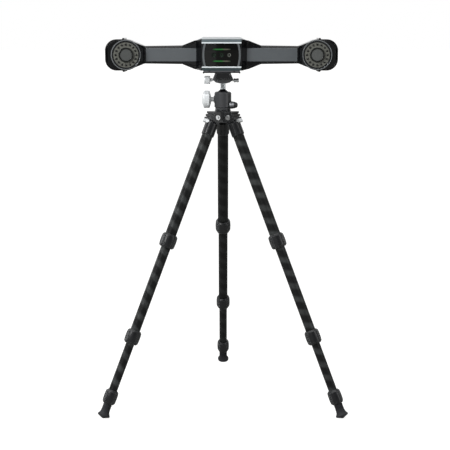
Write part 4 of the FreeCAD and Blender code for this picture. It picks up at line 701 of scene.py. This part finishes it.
class TRACKER_OT_studio(bpy.types.Operator):
    """Lay the floor, light the studio and set up the camera"""

    bl_idname = "tracker.studio"
    bl_label = "Studio"

    def execute(self, context):
        self.floor(context)
        self.sky(context)
        axis = Vector((0.0, JOINTS["head_pan"]["pos_m"][1], 0.0))
        self.lights(context, axis)
        camera = bpy.data.cameras.new("view")
        camera.sensor_fit = "HORIZONTAL"
        camera.sensor_width = 36.0
        camera.lens = sizes().lens
        camera.clip_end = 200.0
        eye = bpy.data.objects.new("view", camera)
        eye.location = axis + Vector((0.005, -sizes().camera_distance, sizes().camera_height))
        eye.rotation_euler = (math.radians(90) - sizes().camera_drop, 0.0, 0.0)
        context.scene.collection.objects.link(eye)
        context.scene.camera = eye
        return {"FINISHED"}

    def floor(self, context):
        mesh = bmesh.new()
        bmesh.ops.create_grid(mesh, x_segments=1, y_segments=1, size=60.0)
        data = bpy.data.meshes.new("studio_floor")
        mesh.to_mesh(data)
        mesh.free()
        material, tree, place = start("matt_paper_floor")
        tone = mottled(tree, place, colours().floor, 0.01, 900.0)
        seen = add(tree, "LightPath", out="Is Camera Ray")
        lit = add(tree, "MapRange", {"Value": seen, "To Max": 0.88})
        data.materials.append(cover(material, {"Base Color": tone, "Roughness": 0.9,
                                               "Specular IOR Level": 0.1,
                                               "Emission Color": (1, 1, 1, 1), "Emission Strength": lit}))
        floor = bpy.data.objects.new("studio_floor", data)
        context.scene.collection.objects.link(floor)

    def sky(self, context):
        """White backdrop; what lights and mirrors is dim in front and bright behind, so black edges gleam."""
        world = bpy.data.worlds.new("studio")
        world.use_nodes = True
        tree = world.node_tree
        tree.nodes.clear()
        seen = add(tree, "LightPath", out="Is Camera Ray")
        place = add(tree, "TexCoord", out="Generated")
        behind = add(tree, "MapRange", {"Value": add(tree, "SeparateXYZ", {0: place}, "Y"), "From Min": 0.0,
                                        "From Max": 0.7, "To Min": 0.12, "To Max": 0.9})
        strength = add(tree, "Math", {0: seen, 1: behind}, operation="MAXIMUM")
        add(tree, "OutputWorld", {"Surface": add(tree, "Background",
                                                 {"Color": (1, 1, 1, 1), "Strength": strength})})
        context.scene.world = world
        context.scene.view_settings.view_transform = "Standard"

    def lights(self, context, axis):
        """Soft light from overhead and from the front, a key from the upper left and cards to mirror."""
        overhead = bpy.data.lights.new("overhead", "SUN")
        overhead.energy = 1.4
        overhead.angle = math.radians(60)
        self.hang(context, overhead, axis + Vector((-0.6, -0.8, 4)), axis)
        aim = axis + Vector((0.0, 0.0, 0.6))
        for name, place, size, power, mirrored in (("front", (-1.8, -2.4, 1.6), (2.0, 1.6), 75.0, False),
                                                   ("key", (-1.7, -1.8, 1.9), (0.5, 1.4), 22.0, True),
                                                   ("fill", (2.0, -1.2, 1.2), (0.7, 1.8), 10.0, True),
                                                   ("rim", (-2.0, 0.6, 1.2), (0.4, 1.8), 10.0, True),
                                                   ("card", (-0.77, -3.3, 0.9), (1.5, 1.4), 2.0, True)):
            light = bpy.data.lights.new(name, "AREA")
            light.shape = "RECTANGLE"
            light.size, light.size_y = size
            light.energy = power
            self.hang(context, light, axis + Vector(place), aim, mirrored)

    def hang(self, context, light, place, aim, mirrored=True):
        lamp = bpy.data.objects.new(light.name, light)
        lamp.location = place
        lamp.rotation_euler = (aim - place).to_track_quat("-Z", "Y").to_euler()
        lamp.visible_camera = False
        lamp.visible_glossy = mirrored
        context.scene.collection.objects.link(lamp)


OPERATORS = (TRACKER_OT_finish_castings, TRACKER_OT_finish_bright_parts, TRACKER_OT_finish_legs,
             TRACKER_OT_finish_bar, TRACKER_OT_ring_lamps, TRACKER_OT_lens_trim, TRACKER_OT_socket_inserts,
             TRACKER_OT_studio)


class TRACKER_PT_panel(bpy.types.Panel):
    """Lists the steps that dress the tracker"""

    bl_idname = "TRACKER_PT_panel"
    bl_label = "Tracker"
    bl_space_type = "VIEW_3D"
    bl_region_type = "UI"
    bl_category = "Tracker"

    def draw(self, context):
        for operator in OPERATORS:
            self.layout.operator(operator.bl_idname)
        for group in (context.scene.tracker_colours, context.scene.tracker_sizes):
            column = self.layout.column()
            for name in group.bl_rna.properties.keys():
                if name not in ("rna_type", "name"):
                    column.prop(group, name)


CLASSES = (TrackerColours, TrackerSizes) + OPERATORS + (TRACKER_PT_panel,)


def register():
    for item in CLASSES:
        bpy.utils.register_class(item)
    bpy.types.Scene.tracker_colours = PointerProperty(type=TrackerColours)
    bpy.types.Scene.tracker_sizes = PointerProperty(type=TrackerSizes)


def unregister():
    del bpy.types.Scene.tracker_sizes
    del bpy.types.Scene.tracker_colours
    for item in reversed(CLASSES):
        bpy.utils.unregister_class(item)


def main():
    register()
    for operator in OPERATORS:
        group, name = operator.bl_idname.split(".")
        getattr(getattr(bpy.ops, group), name)()


if __name__ == "__main__":
    main()
